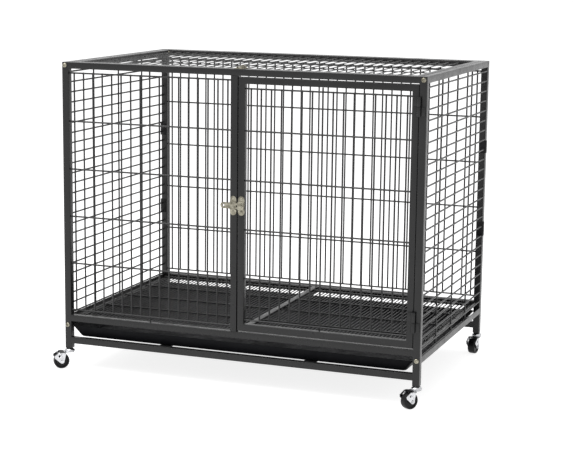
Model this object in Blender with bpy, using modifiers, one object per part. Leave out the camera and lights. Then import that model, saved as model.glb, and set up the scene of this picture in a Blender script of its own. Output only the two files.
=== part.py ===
"""Dog enclosure: a wire crate of square steel tube on four castors.

It has a door in the right half of the front, a lid set into the roof, two lift-out floor grates and a
slide-out tray, and its castors stand turned as they were left. Metres, +Z up, +X to the right and the
front at -Y. The origin is on the floor, under the middle of the box that holds the crate and its castors.
"""

import math

import bmesh
import bpy
from mathutils import Matrix, Vector

# Overall frame
WIDTH = 0.940
DEPTH = 0.596
FRAME_HEIGHT = 0.730
TUBE = 0.016
TUBE_WALL = 0.0012
TUBE_CHAMFER = 0.0015
GAP = 0.0003

# Levels of the beams, from the posts' lower ends to the beams' lower faces
LOWER_BEAM_LEVEL = 0.013
SIDE_RAIL_LEVEL = 0.053
FLOOR_BEAM_LEVEL = 0.071
MIDDLE_POST_OFFSET = -0.0057

# Wire mats
WIRE = 0.004
WIRE_BITE = 0.0008
BAR_PITCH = 0.0259
ROW_PITCH = 0.1204
ROW_ABOVE_FLOOR_BEAM = 0.014
ROW_BELOW_TOP_BEAM = 0.011
FRONT_MAT_INSET = 0.006
BACK_MAT_INSET = 0.008
SIDE_MAT_OUTER_SPACE = 0.0005
SIDE_FIRST_ROW = 0.0868
SIDE_LAST_ROW_BELOW_RAIL = 0.0102
SIDE_UPRIGHTS = 3

# Door
DOOR_SIDE_GAP = 0.0027
DOOR_TOP_GAP = 0.0034
DOOR_FLOOR_GAP = 0.0045
DOOR_END_ROW_INSET = 0.0107
VENT_RADIUS = 0.0025

# Lid
LID_GAP = 0.002
LID_ROWS = 4
LID_END_ROW_INSET = 0.034
LID_MAT_DROP = 0.0055
LID_PIVOT_RADIUS = 0.003
LID_PIVOT_HEAD_RADIUS = 0.0055
LID_PIVOT_HEAD = 0.003
LID_PIVOT_CLEARANCE = 0.0025

# Floor
BEARER_FLANGE = 0.002
LEDGE_DROP = 0.008
LEDGE_WIDTH = 0.006
GRATE_WIRE = 0.004
GRATE_SIDE_GAP = 0.002
GRATE_BAR_PITCH = 0.062
GRATE_ROW_PITCH = 0.128
GRATE_END_ROW_INSET = 0.016

# Tray
TRAY_RIM_INSET = 0.017
TRAY_FLARE = 0.021
TRAY_FRONT_INSET = 0.005
TRAY_BACK_INSET = 0.005
TRAY_END_FLARE = 0.009
TRAY_SHEET = 0.001
TRAY_TOP_LEVEL = 0.059
TRAY_LIP = 0.004
SLAT_WIDTH = 0.033
SLAT_HEIGHT = 0.0015
SLAT_FROM_SIDE = 0.2775

# Corner bolts
BOLT_HEAD_RADIUS = 0.006
BOLT_HEAD = 0.004

# Clips on the rear posts, from the posts' lower ends
CLIP_LEVELS = ((0.266, 0.304), (0.488, 0.521))
CLIP_PROUD = 0.002
CLIP_REACH = 0.009

# Door hinges, from the posts' lower ends
HINGE_LEVELS = ((0.129, 0.179), (0.638, 0.684))
HINGE_RADIUS = 0.0048
HINGE_PIN_RADIUS = 0.0022
HINGE_CLEARANCE = 0.0003
HINGE_TAB = 0.010
HINGE_TAB_THICKNESS = 0.002

# Slide bolts: along the bolt, across it and out from the face that it is fixed to
DOOR_LATCH = {
    "plate_width": 0.016,
    "lobe_spread": 0.017,
    "bolt_width": 0.016,
    "bolt_thickness": 0.003,
    "reach": 0.0435,
    "tail": 0.0145,
    "guide_from_gap": 0.0095,
    "keeper_from_gap": 0.0104,
    "eye_radius": 0.0035,
    "boss_radius": 0.005,
}
LID_LATCH = {
    "plate_width": 0.012,
    "lobe_spread": 0.0085,
    "bolt_width": 0.010,
    "bolt_thickness": 0.0025,
    "reach": 0.0155,
    "tail": 0.0175,
    "guide_from_gap": 0.009,
    "keeper_from_gap": 0.009,
    "eye_radius": 0.0018,
    "boss_radius": 0.0032,
}
LATCH_PLATE = 0.0016
LATCH_WALL = 0.002
LATCH_BOSS = 0.0032
DOOR_LATCH_LEVEL = 0.4005
LID_LATCH_FROM_MIDDLE = 0.005
LOBE_STEPS = 6

# Castors
WHEEL_RADIUS = 0.020
WHEEL_WIDTH = 0.019
WHEEL_TREAD_WIDTH = 0.013
WHEEL_SHOULDER = 0.002
WHEEL_TOP_GAP = 0.0015
CASTOR_TRAIL = 0.022
AXLE_RADIUS = 0.0025
AXLE_CLEARANCE = 0.0003
WHEEL_SIDE_GAP = 0.001
FORK_SHEET = 0.002
FORK_HALF_LENGTH = 0.013
FORK_BOSS_RADIUS = 0.006
KINGPIN_RADIUS = 0.003
KINGPIN_HEIGHT = 0.0065
STEM_RADIUS = 0.006
STEM_LENGTH = 0.025
COLLAR_RADIUS = 0.0085
COLLAR_HEIGHT = 0.002
HOUSING_RADIUS = 0.0135
HOUSING_HEIGHT = 0.0092
BRAKE_SHEET = 0.0012
BRAKE_WHEEL_GAP = 0.0025
BRAKE_PAD_SHEET = 0.002
BRAKE_START = 103.0
BRAKE_SWEEP = 42.0
BRAKE_ARC_STEPS = 6
BRAKE_CHEEK_FIRST_STEP = 2
BRAKE_CHEEK_LEAN = 10.0
NUT_RADIUS = 0.0045
NUT_HEIGHT = 0.0025
# Degrees that each castor is turned about its stem, from trailing to the left towards the front
CASTOR_TURNS = {
    "front_left": 38.0,
    "front_right": 57.0,
    "back_left": 60.0,
    "back_right": 83.0,
}
TURN_STEPS = 14
WHEEL_STEPS = 20

# Fineness of the round pieces
ROUND_SIDES = 12
SHAFT_SIDES = 10
VENT_SIDES = 8
NUT_SIDES = 6
WIRE_SIDES = 4
SMOOTH_BELOW = 35.0
MERGE_WITHIN = 0.00001
OUTLINE_MERGE_WITHIN = 0.000001

# Colours, as linear red, green and blue
FRAME_BLACK = (0.035, 0.035, 0.037)
WIRE_BLACK = (0.045, 0.045, 0.047)
TRAY_BLACK = (0.015, 0.016, 0.018)
NICKEL = (0.55, 0.53, 0.49)
CHROME = (0.60, 0.61, 0.63)
WHEEL_BLACK = (0.012, 0.012, 0.013)

# Places worked out from the sizes above
CASTOR_HEIGHT = 2 * WHEEL_RADIUS + WHEEL_TOP_GAP + FORK_SHEET + GAP + HOUSING_HEIGHT
LEFT = -WIDTH / 2
RIGHT = WIDTH / 2
FRONT = -DEPTH / 2
BACK = DEPTH / 2
BASE = CASTOR_HEIGHT
TOP = BASE + FRAME_HEIGHT
TOP_BEAM_LOW = TOP - TUBE
FLOOR_BEAM_LOW = BASE + FLOOR_BEAM_LEVEL
FLOOR_BEAM_TOP = FLOOR_BEAM_LOW + TUBE
MIDDLE_POST_LEFT = MIDDLE_POST_OFFSET - TUBE / 2
MIDDLE_POST_RIGHT = MIDDLE_POST_LEFT + TUBE
INNER_LEFT = LEFT + TUBE + GAP
INNER_RIGHT = RIGHT - TUBE - GAP
INNER_FRONT = FRONT + TUBE + GAP
INNER_BACK = BACK - TUBE - GAP
LAYER_STEP = WIRE - WIRE_BITE
SIDE_MAT_INSET = SIDE_MAT_OUTER_SPACE + WIRE / 2
OUTER_BEARER_INSET = SIDE_MAT_INSET + LAYER_STEP + WIRE / 2 + GAP
LID_PIVOT_FROM_BACK = TUBE + LID_PIVOT_HEAD_RADIUS + LID_PIVOT_CLEARANCE
DOOR_LOW = Vector((MIDDLE_POST_RIGHT + DOOR_SIDE_GAP, FRONT, FLOOR_BEAM_TOP + DOOR_FLOOR_GAP))
DOOR_HIGH = Vector((RIGHT - TUBE - DOOR_SIDE_GAP, FRONT + TUBE, TOP_BEAM_LOW - DOOR_TOP_GAP))
LID_LOW = Vector((LEFT + TUBE + LID_GAP, FRONT + TUBE + LID_GAP, TOP_BEAM_LOW))
LID_HIGH = Vector((RIGHT - TUBE - LID_GAP, BACK - TUBE - LID_GAP, TOP))

BRAKE_REACH = (WHEEL_RADIUS + BRAKE_WHEEL_GAP + BRAKE_PAD_SHEET) * -math.cos(
    math.radians(BRAKE_START + BRAKE_SWEEP)
)
FORK_INNER = WHEEL_WIDTH / 2 + WHEEL_SIDE_GAP
FORK_OUTER = FORK_INNER + FORK_SHEET
BRAKE_INNER = FORK_OUTER + GAP
BRAKE_OUTER = BRAKE_INNER + BRAKE_SHEET
NUT_FACE = BRAKE_OUTER + GAP
NUT_END = NUT_FACE + NUT_HEIGHT

COLLECTION_NAME = "dog_enclosure"
CUTTER_COLLECTION_NAME = "cutters"


def castor_outline():
    """The outermost points of a castor from its stem's axis, as if it trailed to -X, as (x, y)."""
    sides = []
    for reach, half in (
        (WHEEL_RADIUS, WHEEL_TREAD_WIDTH / 2),
        (WHEEL_RADIUS - WHEEL_SHOULDER, WHEEL_WIDTH / 2),
        (BRAKE_REACH, BRAKE_OUTER),
        (NUT_RADIUS, NUT_END),
    ):
        sides += [(-CASTOR_TRAIL - reach, half), (-CASTOR_TRAIL - reach, -half)]
    for x in (-FORK_HALF_LENGTH, FORK_HALF_LENGTH):
        sides += [(x, FORK_OUTER), (x, -FORK_OUTER)]
    return sides


def stem_places():
    """Each castor's name and the place of its stem."""
    for side_y, y in (("front", FRONT + TUBE / 2), ("back", BACK - TUBE / 2)):
        for side_x, x in (("left", LEFT + TUBE / 2), ("right", RIGHT - TUBE / 2)):
            yield f"{side_y}_{side_x}", x, y


def crate_middle():
    """The middle of the box that holds the frame, the door hinges, the bolts and the turned castors."""
    low = Vector((LEFT - CLIP_PROUD, FRONT - 2 * HINGE_RADIUS - GAP))
    high = Vector((RIGHT + CLIP_PROUD, BACK + BOLT_HEAD))
    for place, x, y in stem_places():
        turn = Matrix.Rotation(math.radians(CASTOR_TURNS[place]), 2)
        reach = Vector((HOUSING_RADIUS, HOUSING_RADIUS))
        points = [turn @ Vector(point) for point in castor_outline()] + [reach, -reach]
        for point in points:
            low = Vector(map(min, low, point + Vector((x, y))))
            high = Vector(map(max, high, point + Vector((x, y))))
    return (low + high) / 2


def clear_scene():
    for old in list(bpy.data.objects):
        bpy.data.objects.remove(old, do_unlink=True)


def make_collection(name):
    collection = bpy.data.collections.new(name)
    bpy.context.scene.collection.children.link(collection)
    return collection


def make_material(name, colour, roughness, metallic):
    material = bpy.data.materials.new(name)
    material.use_nodes = True
    shader = material.node_tree.nodes["Principled BSDF"]
    shader.inputs["Base Color"].default_value = (*colour, 1.0)
    shader.inputs["Roughness"].default_value = roughness
    shader.inputs["Metallic"].default_value = metallic
    return material


def make_object(name, mesh, material, location=(0.0, 0.0, 0.0)):
    """A visible piece in the crate's collection."""
    piece = bpy.data.objects.new(name, mesh)
    piece.location = location
    bpy.data.collections[COLLECTION_NAME].objects.link(piece)
    mesh.materials.clear()
    mesh.materials.append(material)
    return piece


def make_cutter(name, mesh, location=(0.0, 0.0, 0.0)):
    """A helper that cuts or joins another piece and isn't rendered itself."""
    cutter = bpy.data.objects.new(name, mesh)
    cutter.location = location
    cutter.hide_render = True
    cutter.display_type = "WIRE"
    bpy.data.collections[CUTTER_COLLECTION_NAME].objects.link(cutter)
    return cutter


def combine(piece, helper, operation):
    """Adds an exact Boolean of the helper to the piece."""
    modifier = piece.modifiers.new(f"{operation.lower()} {helper.name}", "BOOLEAN")
    modifier.object = helper
    modifier.operation = operation
    modifier.solver = "EXACT"


def mesh_from(bm, name):
    bmesh.ops.recalc_face_normals(bm, faces=bm.faces)
    mesh = bpy.data.meshes.new(name)
    bm.to_mesh(mesh)
    bm.free()
    return mesh


def smooth(mesh):
    mesh.shade_smooth()
    mesh.set_sharp_from_angle(angle=math.radians(SMOOTH_BELOW))


def box_mesh(name, low, high, chamfer=0.0, along=""):
    """A box between two corners about their middle, with the edges along the named axes chamfered."""
    size = Vector(high) - Vector(low)
    bm = bmesh.new()
    bmesh.ops.create_cube(bm, size=1.0, matrix=Matrix.Diagonal((*size, 1.0)))
    if chamfer:
        edges = [edge for edge in bm.edges if edge_axis(edge) in along]
        bmesh.ops.bevel(bm, geom=edges, offset=chamfer, segments=1, profile=0.5, affect="EDGES")
    return mesh_from(bm, name)


def edge_axis(edge):
    direction = edge.verts[1].co - edge.verts[0].co
    return "XYZ"[max(range(3), key=lambda axis: abs(direction[axis]))]


def middle(low, high):
    return (Vector(low) + Vector(high)) / 2


def box_cutter(name, low, high):
    return make_cutter(name, box_mesh(name, low, high), middle(low, high))


def cylinder_mesh(name, radius, length, axis, sides):
    bm = bmesh.new()
    turn = {"X": Matrix.Rotation(math.pi / 2, 4, "Y"), "Y": Matrix.Rotation(math.pi / 2, 4, "X")}
    bmesh.ops.create_cone(
        bm,
        cap_ends=True,
        segments=sides,
        radius1=radius,
        radius2=radius,
        depth=length,
        matrix=turn.get(axis, Matrix.Identity(4)),
    )
    mesh = mesh_from(bm, name)
    smooth(mesh)
    return mesh


def cylinder_cutter(name, radius, start, end, axis, sides=ROUND_SIDES):
    length = (Vector(end) - Vector(start)).length
    return make_cutter(name, cylinder_mesh(name, radius, length, axis, sides), middle(start, end))


def outline_mesh(name, points, thickness, to_world):
    """A flat plate from an outline: the points are in its own XY plane and it is centred on that plane."""
    curve = bpy.data.curves.new(name, "CURVE")
    curve.dimensions = "2D"
    curve.fill_mode = "BOTH"
    curve.extrude = thickness / 2
    for loop in points:
        spline = curve.splines.new("POLY")
        spline.points.add(len(loop) - 1)
        for point, (x, y) in zip(spline.points, loop):
            point.co = (x, y, 0.0, 1.0)
        spline.use_cyclic_u = True
    source = bpy.data.objects.new(name, curve)
    bpy.context.scene.collection.objects.link(source)
    bpy.context.view_layer.update()
    evaluated = source.evaluated_get(bpy.context.evaluated_depsgraph_get())
    mesh = bpy.data.meshes.new_from_object(evaluated)
    bpy.data.objects.remove(source, do_unlink=True)
    bm = bmesh.new()
    bm.from_mesh(mesh)
    bmesh.ops.remove_doubles(bm, verts=bm.verts, dist=OUTLINE_MERGE_WITHIN)
    bmesh.ops.transform(bm, matrix=to_world, verts=bm.verts)
    bpy.data.meshes.remove(mesh)
    return mesh_from(bm, name)


def turned_mesh(name, profile, steps, axis="Z", closed=False):
    """A mesh turned from (radius, height) points, with a Screw applied about the given axis."""
    bm = bmesh.new()
    corners = [bm.verts.new((radius, 0.0, height)) for radius, height in profile]
    for first, second in zip(corners, corners[1:]):
        bm.edges.new((first, second))
    if closed:
        bm.edges.new((corners[-1], corners[0]))
    mesh = bpy.data.meshes.new(name)
    bm.to_mesh(mesh)
    bm.free()
    source = bpy.data.objects.new(name, mesh)
    bpy.context.scene.collection.objects.link(source)
    screw = source.modifiers.new("turn", "SCREW")
    screw.steps = steps
    screw.render_steps = steps
    screw.use_merge_vertices = True
    screw.merge_threshold = MERGE_WITHIN
    bpy.context.view_layer.update()
    evaluated = source.evaluated_get(bpy.context.evaluated_depsgraph_get())
    turned = bpy.data.meshes.new_from_object(evaluated)
    bpy.data.objects.remove(source, do_unlink=True)
    bm = bmesh.new()
    bm.from_mesh(turned)
    if axis == "Y":
        bmesh.ops.rotate(bm, verts=bm.verts, matrix=Matrix.Rotation(math.pi / 2, 3, "X"))
    bpy.data.meshes.remove(turned)
    result = mesh_from(bm, name)
    smooth(result)
    return result


def hollow_bar(name, low, high, material, closed_high=False):
    """A square tube between two corners, with its bore along its longest side."""
    low = Vector(low)
    high = Vector(high)
    size = high - low
    long_axis = max(range(3), key=lambda axis: size[axis])
    mesh = box_mesh(name, low, high, TUBE_CHAMFER, "XYZ"[long_axis])
    piece = make_object(name, mesh, material, middle(low, high))
    bore_low = low + Vector((TUBE_WALL,) * 3)
    bore_high = high - Vector((TUBE_WALL,) * 3)
    bore_low[long_axis] = low[long_axis] - TUBE
    if not closed_high:
        bore_high[long_axis] = high[long_axis] + TUBE
    combine(piece, box_cutter(f"{name}_bore", bore_low, bore_high), "DIFFERENCE")
    return piece


def bolt_head(name, centre, outward):
    """A corner bolt's head on a post's front or back face: outward is -1 at the front and 1 at the back."""
    inner = Vector(centre) - Vector((0.0, outward * TUBE_WALL / 2, 0.0))
    outer = Vector(centre) + Vector((0.0, outward * BOLT_HEAD, 0.0))
    return cylinder_cutter(name, BOLT_HEAD_RADIUS, inner, outer, "Y")


def corner_post(name, left, front, material):
    """A post with its upper and lower bolt heads; a rear one carries two clips."""
    x_low = LEFT if left else RIGHT - TUBE
    y_low = FRONT if front else BACK - TUBE
    piece = hollow_bar(
        name, (x_low, y_low, BASE), (x_low + TUBE, y_low + TUBE, TOP), material, closed_high=True
    )
    face = FRONT if front else BACK
    outward = -1.0 if front else 1.0
    for label, level in (("upper", TOP - TUBE / 2), ("lower", BASE + SIDE_RAIL_LEVEL + TUBE / 2)):
        centre = (x_low + TUBE / 2, face, level)
        combine(piece, bolt_head(f"{name}_{label}_bolt", centre, outward), "UNION")
    if front:
        return piece
    for index, (low, high) in enumerate(CLIP_LEVELS):
        x_start = LEFT - CLIP_PROUD if left else RIGHT - CLIP_REACH
        x_end = LEFT + CLIP_REACH if left else RIGHT + CLIP_PROUD
        start = (x_start, y_low + 2 * TUBE_CHAMFER, BASE + low)
        end = (x_end, y_low + CLIP_REACH, BASE + high)
        clip = box_cutter(f"{name}_clip_{index}", start, end)
        combine(clip, post_inside(f"{name}_clip_bore_{index}", x_low, y_low), "DIFFERENCE")
        combine(piece, clip, "UNION")
    return piece


def post_inside(name, x_low, y_low):
    """The inside of a post, which its clips leave open: they reach halfway into its wall."""
    low = (x_low + TUBE_WALL / 2, y_low + TUBE_WALL / 2, BASE)
    high = (x_low + TUBE - TUBE_WALL / 2, y_low + TUBE - TUBE_WALL / 2, TOP)
    return box_cutter(name, low, high)


def build_posts(material):
    corner_post("front_left_post", True, True, material)
    corner_post("front_right_post", False, True, material)
    corner_post("back_left_post", True, False, material)
    corner_post("back_right_post", False, False, material)
    low = (MIDDLE_POST_LEFT, FRONT, FLOOR_BEAM_TOP + GAP)
    high = (MIDDLE_POST_RIGHT, FRONT + TUBE, TOP_BEAM_LOW - GAP)
    hollow_bar("front_middle_post", low, high, material)


def build_beams(material):
    """Top, floor and lower beams across the front and the back, and the top rails along the sides."""
    levels = (("top", TOP_BEAM_LOW), ("floor", FLOOR_BEAM_LOW), ("lower", BASE + LOWER_BEAM_LEVEL))
    for label, level in levels:
        for side, y_low in (("front", FRONT), ("back", BACK - TUBE)):
            low = (INNER_LEFT, y_low, level)
            high = (INNER_RIGHT, y_low + TUBE, level + TUBE)
            hollow_bar(f"{side}_{label}_beam", low, high, material)
    for side, x_low in (("left", LEFT), ("right", RIGHT - TUBE)):
        low = (x_low, INNER_FRONT, TOP_BEAM_LOW)
        high = (x_low + TUBE, INNER_BACK, TOP)
        rail = hollow_bar(f"{side}_top_rail", low, high, material)
        inner = x_low + TUBE if side == "left" else x_low
        start = lid_pivot_point(inner - TUBE / 4)
        end = lid_pivot_point(inner + TUBE / 4)
        radius = LID_PIVOT_RADIUS + GAP
        hole = cylinder_cutter(f"{side}_top_rail_pivot_hole", radius, start, end, "X")
        combine(rail, hole, "DIFFERENCE")
        angle_rail(side, x_low, material)


def angle_rail(side, x_low, material):
    """A bottom side rail: an angle with its web outside and its foot below."""
    low = Vector((x_low, INNER_FRONT, BASE + SIDE_RAIL_LEVEL))
    high = Vector((x_low + TUBE, INNER_BACK, BASE + SIDE_RAIL_LEVEL + TUBE))
    angle(f"{side}_bottom_rail", low, high, side, material)


def angle(name, low, high, side, material):
    """An angle that runs from front to back, with its web on the crate's side and its foot below."""
    bar = make_object(name, box_mesh(name, low, high), material, middle(low, high))
    web_left = BEARER_FLANGE if side == "left" else -TUBE
    web_right = TUBE if side == "left" else -BEARER_FLANGE
    cut_low = low + Vector((web_left, -TUBE, BEARER_FLANGE))
    cut_high = high + Vector((web_right, TUBE, TUBE))
    combine(bar, box_cutter(f"{name}_hollow", cut_low, cut_high), "DIFFERENCE")


def wire_mesh(name, runs, thickness):
    """Straight wires of four-sided section, each from one point to another along an axis."""
    bm = bmesh.new()
    for start, end in runs:
        start = Vector(start)
        end = Vector(end)
        along = end - start
        turn = Vector((0.0, 0.0, 1.0)).rotation_difference(along.normalized()).to_matrix().to_4x4()
        bmesh.ops.create_cone(
            bm,
            cap_ends=True,
            segments=WIRE_SIDES,
            radius1=thickness / 2,
            radius2=thickness / 2,
            depth=along.length,
            matrix=Matrix.Translation((start + end) / 2) @ turn,
        )
    return mesh_from(bm, name)


def wire_mat(name, bars, rows, material, thickness=WIRE):
    """A welded mat: the bars and the rows lie in two layers that bite into each other where they cross."""
    mat = make_object(name, wire_mesh(name, bars, thickness), material)
    crossing = make_cutter(f"{name}_rows", wire_mesh(f"{name}_rows", rows, thickness))
    combine(mat, crossing, "UNION")
    return mat


def spaced(low, high, pitch):
    """Places between two bars at about the pitch, with half a space at each end."""
    count = max(1, round((high - low) / pitch))
    step = (high - low) / count
    return [low + step * (index + 0.5) for index in range(count)]


def evenly(first, last, pitch):
    """Places from the first to the last, both included, at about the pitch."""
    count = max(1, round((last - first) / pitch))
    return [first + (last - first) * index / count for index in range(count + 1)]


def mat_rows():
    first = FLOOR_BEAM_TOP + ROW_ABOVE_FLOOR_BEAM
    return evenly(first, TOP_BEAM_LOW - ROW_BELOW_TOP_BEAM, ROW_PITCH)


def upright_bars(places, y, rows, low, high):
    """Upright bars that end on the first and last rows, but the middle one, which reaches both beams."""
    longest = (len(places) - 1) // 2 if len(places) % 2 else len(places) // 2 - 1
    bars = []
    for index, x in enumerate(places):
        z_low = low if index == longest else rows[0] - WIRE / 2
        z_high = high if index == longest else rows[-1] + WIRE / 2
        bars.append(((x, y, z_low), (x, y, z_high)))
    return bars


def build_front_and_back_mats(material):
    rows = mat_rows()
    low = FLOOR_BEAM_TOP + GAP
    high = TOP_BEAM_LOW - GAP
    row_y = FRONT + FRONT_MAT_INSET
    bar_y = row_y + LAYER_STEP
    places = spaced(LEFT + TUBE, MIDDLE_POST_LEFT, BAR_PITCH)
    bars = upright_bars(places, bar_y, rows, low, high)
    runs = [((INNER_LEFT, row_y, z), (MIDDLE_POST_LEFT - GAP, row_y, z)) for z in rows]
    wire_mat("front_left_mat", bars, runs, material)
    bar_y = BACK - BACK_MAT_INSET
    places = spaced(LEFT + TUBE, RIGHT - TUBE, BAR_PITCH)
    bars = upright_bars(places, bar_y, rows, low, high)
    row_y = bar_y - LAYER_STEP
    runs = [((INNER_LEFT, row_y, z), (INNER_RIGHT, row_y, z)) for z in rows]
    wire_mat("back_mat", bars, runs, material)


def build_side_mats(material):
    """Close level rows from post to post, tied by a few uprights from rail to rail."""
    first = BASE + SIDE_FIRST_ROW
    rows = evenly(first, TOP_BEAM_LOW - SIDE_LAST_ROW_BELOW_RAIL, BAR_PITCH)
    step = (DEPTH - 2 * TUBE) / (SIDE_UPRIGHTS + 1)
    uprights = [FRONT + TUBE + step * (index + 1) for index in range(SIDE_UPRIGHTS)]
    low = BASE + SIDE_RAIL_LEVEL + TUBE + GAP
    high = TOP_BEAM_LOW - GAP
    for side, outer, inward in (("left", LEFT, 1.0), ("right", RIGHT, -1.0)):
        row_x = outer + inward * SIDE_MAT_INSET
        bar_x = row_x + inward * LAYER_STEP
        bars = [((bar_x, y, low), (bar_x, y, high)) for y in uprights]
        runs = [((row_x, INNER_FRONT, z), (row_x, INNER_BACK, z)) for z in rows]
        wire_mat(f"{side}_mat", bars, runs, material)


def tube_ring(name, low, high, across, material):
    """A closed frame of mitred square tube, hollow all round, with a vent hole on its inner side.

    across is the axis through the frame's opening.
    """
    plane = [axis for axis in range(3) if "XYZ"[axis] != across]
    mesh = box_mesh(name, low, high, TUBE_CHAMFER, "".join("XYZ"[axis] for axis in plane))
    piece = make_object(name, mesh, material, middle(low, high))
    hole_low, hole_high = inset(low, high, plane, TUBE)
    thin = "XYZ".index(across)
    hole_low[thin] -= TUBE
    hole_high[thin] += TUBE
    combine(piece, box_cutter(f"{name}_opening", hole_low, hole_high), "DIFFERENCE")
    bore_low, bore_high = inset(low, high, (0, 1, 2), TUBE_WALL)
    bore = box_cutter(f"{name}_bore", bore_low, bore_high)
    core_low, core_high = inset(low, high, plane, TUBE - TUBE_WALL)
    core_low[thin] -= TUBE
    core_high[thin] += TUBE
    combine(bore, box_cutter(f"{name}_core", core_low, core_high), "DIFFERENCE")
    combine(piece, bore, "DIFFERENCE")
    side = "XYZ"[plane[0]]
    start = middle(low, high)
    start[plane[0]] = high[plane[0]] - TUBE - TUBE_WALL
    end = start.copy()
    end[plane[0]] = high[plane[0]] - TUBE / 2
    vent = cylinder_cutter(f"{name}_vent", VENT_RADIUS, start, end, side, VENT_SIDES)
    combine(piece, vent, "DIFFERENCE")
    return piece


def inset(low, high, axes, amount):
    new_low = Vector(low)
    new_high = Vector(high)
    for axis in axes:
        new_low[axis] += amount
        new_high[axis] -= amount
    return new_low, new_high


def build_door(frame_material, wire_material):
    tube_ring("door_frame", DOOR_LOW, DOOR_HIGH, "Y", frame_material)
    rows = mat_rows()
    rows[0] = DOOR_LOW.z + TUBE + DOOR_END_ROW_INSET
    rows[-1] = DOOR_HIGH.z - TUBE - DOOR_END_ROW_INSET
    row_y = FRONT + FRONT_MAT_INSET
    bar_y = row_y + LAYER_STEP
    left = DOOR_LOW.x + TUBE
    right = DOOR_HIGH.x - TUBE
    low = DOOR_LOW.z + TUBE + GAP
    high = DOOR_HIGH.z - TUBE - GAP
    bars = upright_bars(spaced(left, right, BAR_PITCH), bar_y, rows, low, high)
    runs = [((left + GAP, row_y, z), (right - GAP, row_y, z)) for z in rows]
    wire_mat("door_mat", bars, runs, wire_material)


def lid_pivot_point(x):
    """A point on the axis that the lid turns about."""
    return Vector((x, LID_HIGH.y - LID_PIVOT_FROM_BACK, TOP - TUBE / 2))


def build_lid(frame_material, wire_material, pin_material):
    frame = tube_ring("lid_frame", LID_LOW, LID_HIGH, "Z", frame_material)
    radius = LID_PIVOT_RADIUS + GAP
    for side, outer, inward in (("left", LID_LOW.x, 1.0), ("right", LID_HIGH.x, -1.0)):
        start = lid_pivot_point(outer - inward * LID_GAP / 2)
        end = lid_pivot_point(outer + inward * (TUBE + LID_GAP))
        hole = cylinder_cutter(f"lid_{side}_pivot_hole", radius, start, end, "X")
        combine(frame, hole, "DIFFERENCE")
        lid_pivot(side, outer, inward, pin_material)
    bar_z = TOP - LID_MAT_DROP
    row_z = bar_z - LAYER_STEP
    y_low = LID_LOW.y + TUBE + GAP
    y_high = LID_HIGH.y - TUBE - GAP
    x_low = LID_LOW.x + TUBE
    x_high = LID_HIGH.x - TUBE
    bars = [((x, y_low, bar_z), (x, y_high, bar_z)) for x in spaced(x_low, x_high, BAR_PITCH)]
    first = LID_LOW.y + TUBE + LID_END_ROW_INSET
    last = LID_HIGH.y - TUBE - LID_END_ROW_INSET
    rows = evenly(first, last, (last - first) / (LID_ROWS - 1))
    runs = [((x_low + GAP, y, row_z), (x_high - GAP, y, row_z)) for y in rows]
    wire_mat("lid_mat", bars, runs, wire_material)


def lid_pivot(side, outer, inward, material):
    """A pivot pin from inside the side rail, through the lid's side bar, with its head inside the lid."""
    name = f"lid_{side}_pivot"
    tail = outer - inward * (LID_GAP + TUBE / 2)
    face = outer + inward * (TUBE + GAP)
    tip = face + inward * LID_PIVOT_HEAD
    start = lid_pivot_point(tail)
    end = lid_pivot_point(tip)
    length = (end - start).length
    mesh = cylinder_mesh(name, LID_PIVOT_RADIUS, length, "X", ROUND_SIDES)
    pin = make_object(name, mesh, material, middle(start, end))
    head = cylinder_cutter(f"{name}_head", LID_PIVOT_HEAD_RADIUS, lid_pivot_point(face), end, "X")
    combine(pin, head, "UNION")


def ledge(name, x_low, x_high):
    """A flat strip along the middle bearer, which the edge of a grate rests on."""
    high_z = FLOOR_BEAM_TOP - LEDGE_DROP
    low = (x_low, INNER_FRONT + TUBE_CHAMFER, high_z - BEARER_FLANGE)
    return box_cutter(name, low, (x_high, INNER_BACK - TUBE_CHAMFER, high_z))


def build_bearers(material):
    """Two outer angles and a middle tube with ledges, from the front floor beam to the back one."""
    low = (-TUBE / 2, INNER_FRONT, FLOOR_BEAM_LOW)
    high = (TUBE / 2, INNER_BACK, FLOOR_BEAM_TOP)
    centre = hollow_bar("centre_bearer", low, high, material)
    for side, x_low in (("left", -TUBE / 2 - LEDGE_WIDTH), ("right", TUBE / 2 - TUBE_WALL / 2)):
        strip = ledge(f"centre_bearer_{side}_ledge", x_low, x_low + LEDGE_WIDTH + TUBE_WALL / 2)
        combine(centre, strip, "UNION")
    for side, inward in (("left", 1.0), ("right", -1.0)):
        outer = inward * (LEFT + OUTER_BEARER_INSET)
        x_low, x_high = sorted((outer, outer + inward * (TUBE + LEDGE_WIDTH)))
        foot = FLOOR_BEAM_TOP - LEDGE_DROP - BEARER_FLANGE
        low = Vector((x_low, INNER_FRONT + TUBE_CHAMFER, foot))
        high = Vector((x_high, INNER_BACK - TUBE_CHAMFER, FLOOR_BEAM_TOP))
        angle(f"{side}_bearer", low, high, side, material)


def build_grates(material):
    """Lift-out floors between the bearers: their outer bars rest along the bearers' ledges."""
    bar_z = FLOOR_BEAM_TOP - LEDGE_DROP + GAP + GRATE_WIRE / 2
    row_z = bar_z + GRATE_WIRE - WIRE_BITE
    edge = LEFT + OUTER_BEARER_INSET + TUBE + GRATE_SIDE_GAP
    spans = (
        ("left_grate", edge, -TUBE / 2 - GRATE_SIDE_GAP),
        ("right_grate", TUBE / 2 + GRATE_SIDE_GAP, -edge),
    )
    first = INNER_FRONT + GRATE_END_ROW_INSET
    last = INNER_BACK - GRATE_END_ROW_INSET
    for name, x_low, x_high in spans:
        half = GRATE_WIRE / 2
        places = evenly(x_low + half, x_high - half, GRATE_BAR_PITCH)
        bars = [((x, INNER_FRONT, bar_z), (x, INNER_BACK, bar_z)) for x in places]
        rows = evenly(first, last, GRATE_ROW_PITCH)
        runs = [((x_low, y, row_z), (x_high, y, row_z)) for y in rows]
        wire_mat(name, bars, runs, material, GRATE_WIRE)


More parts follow.
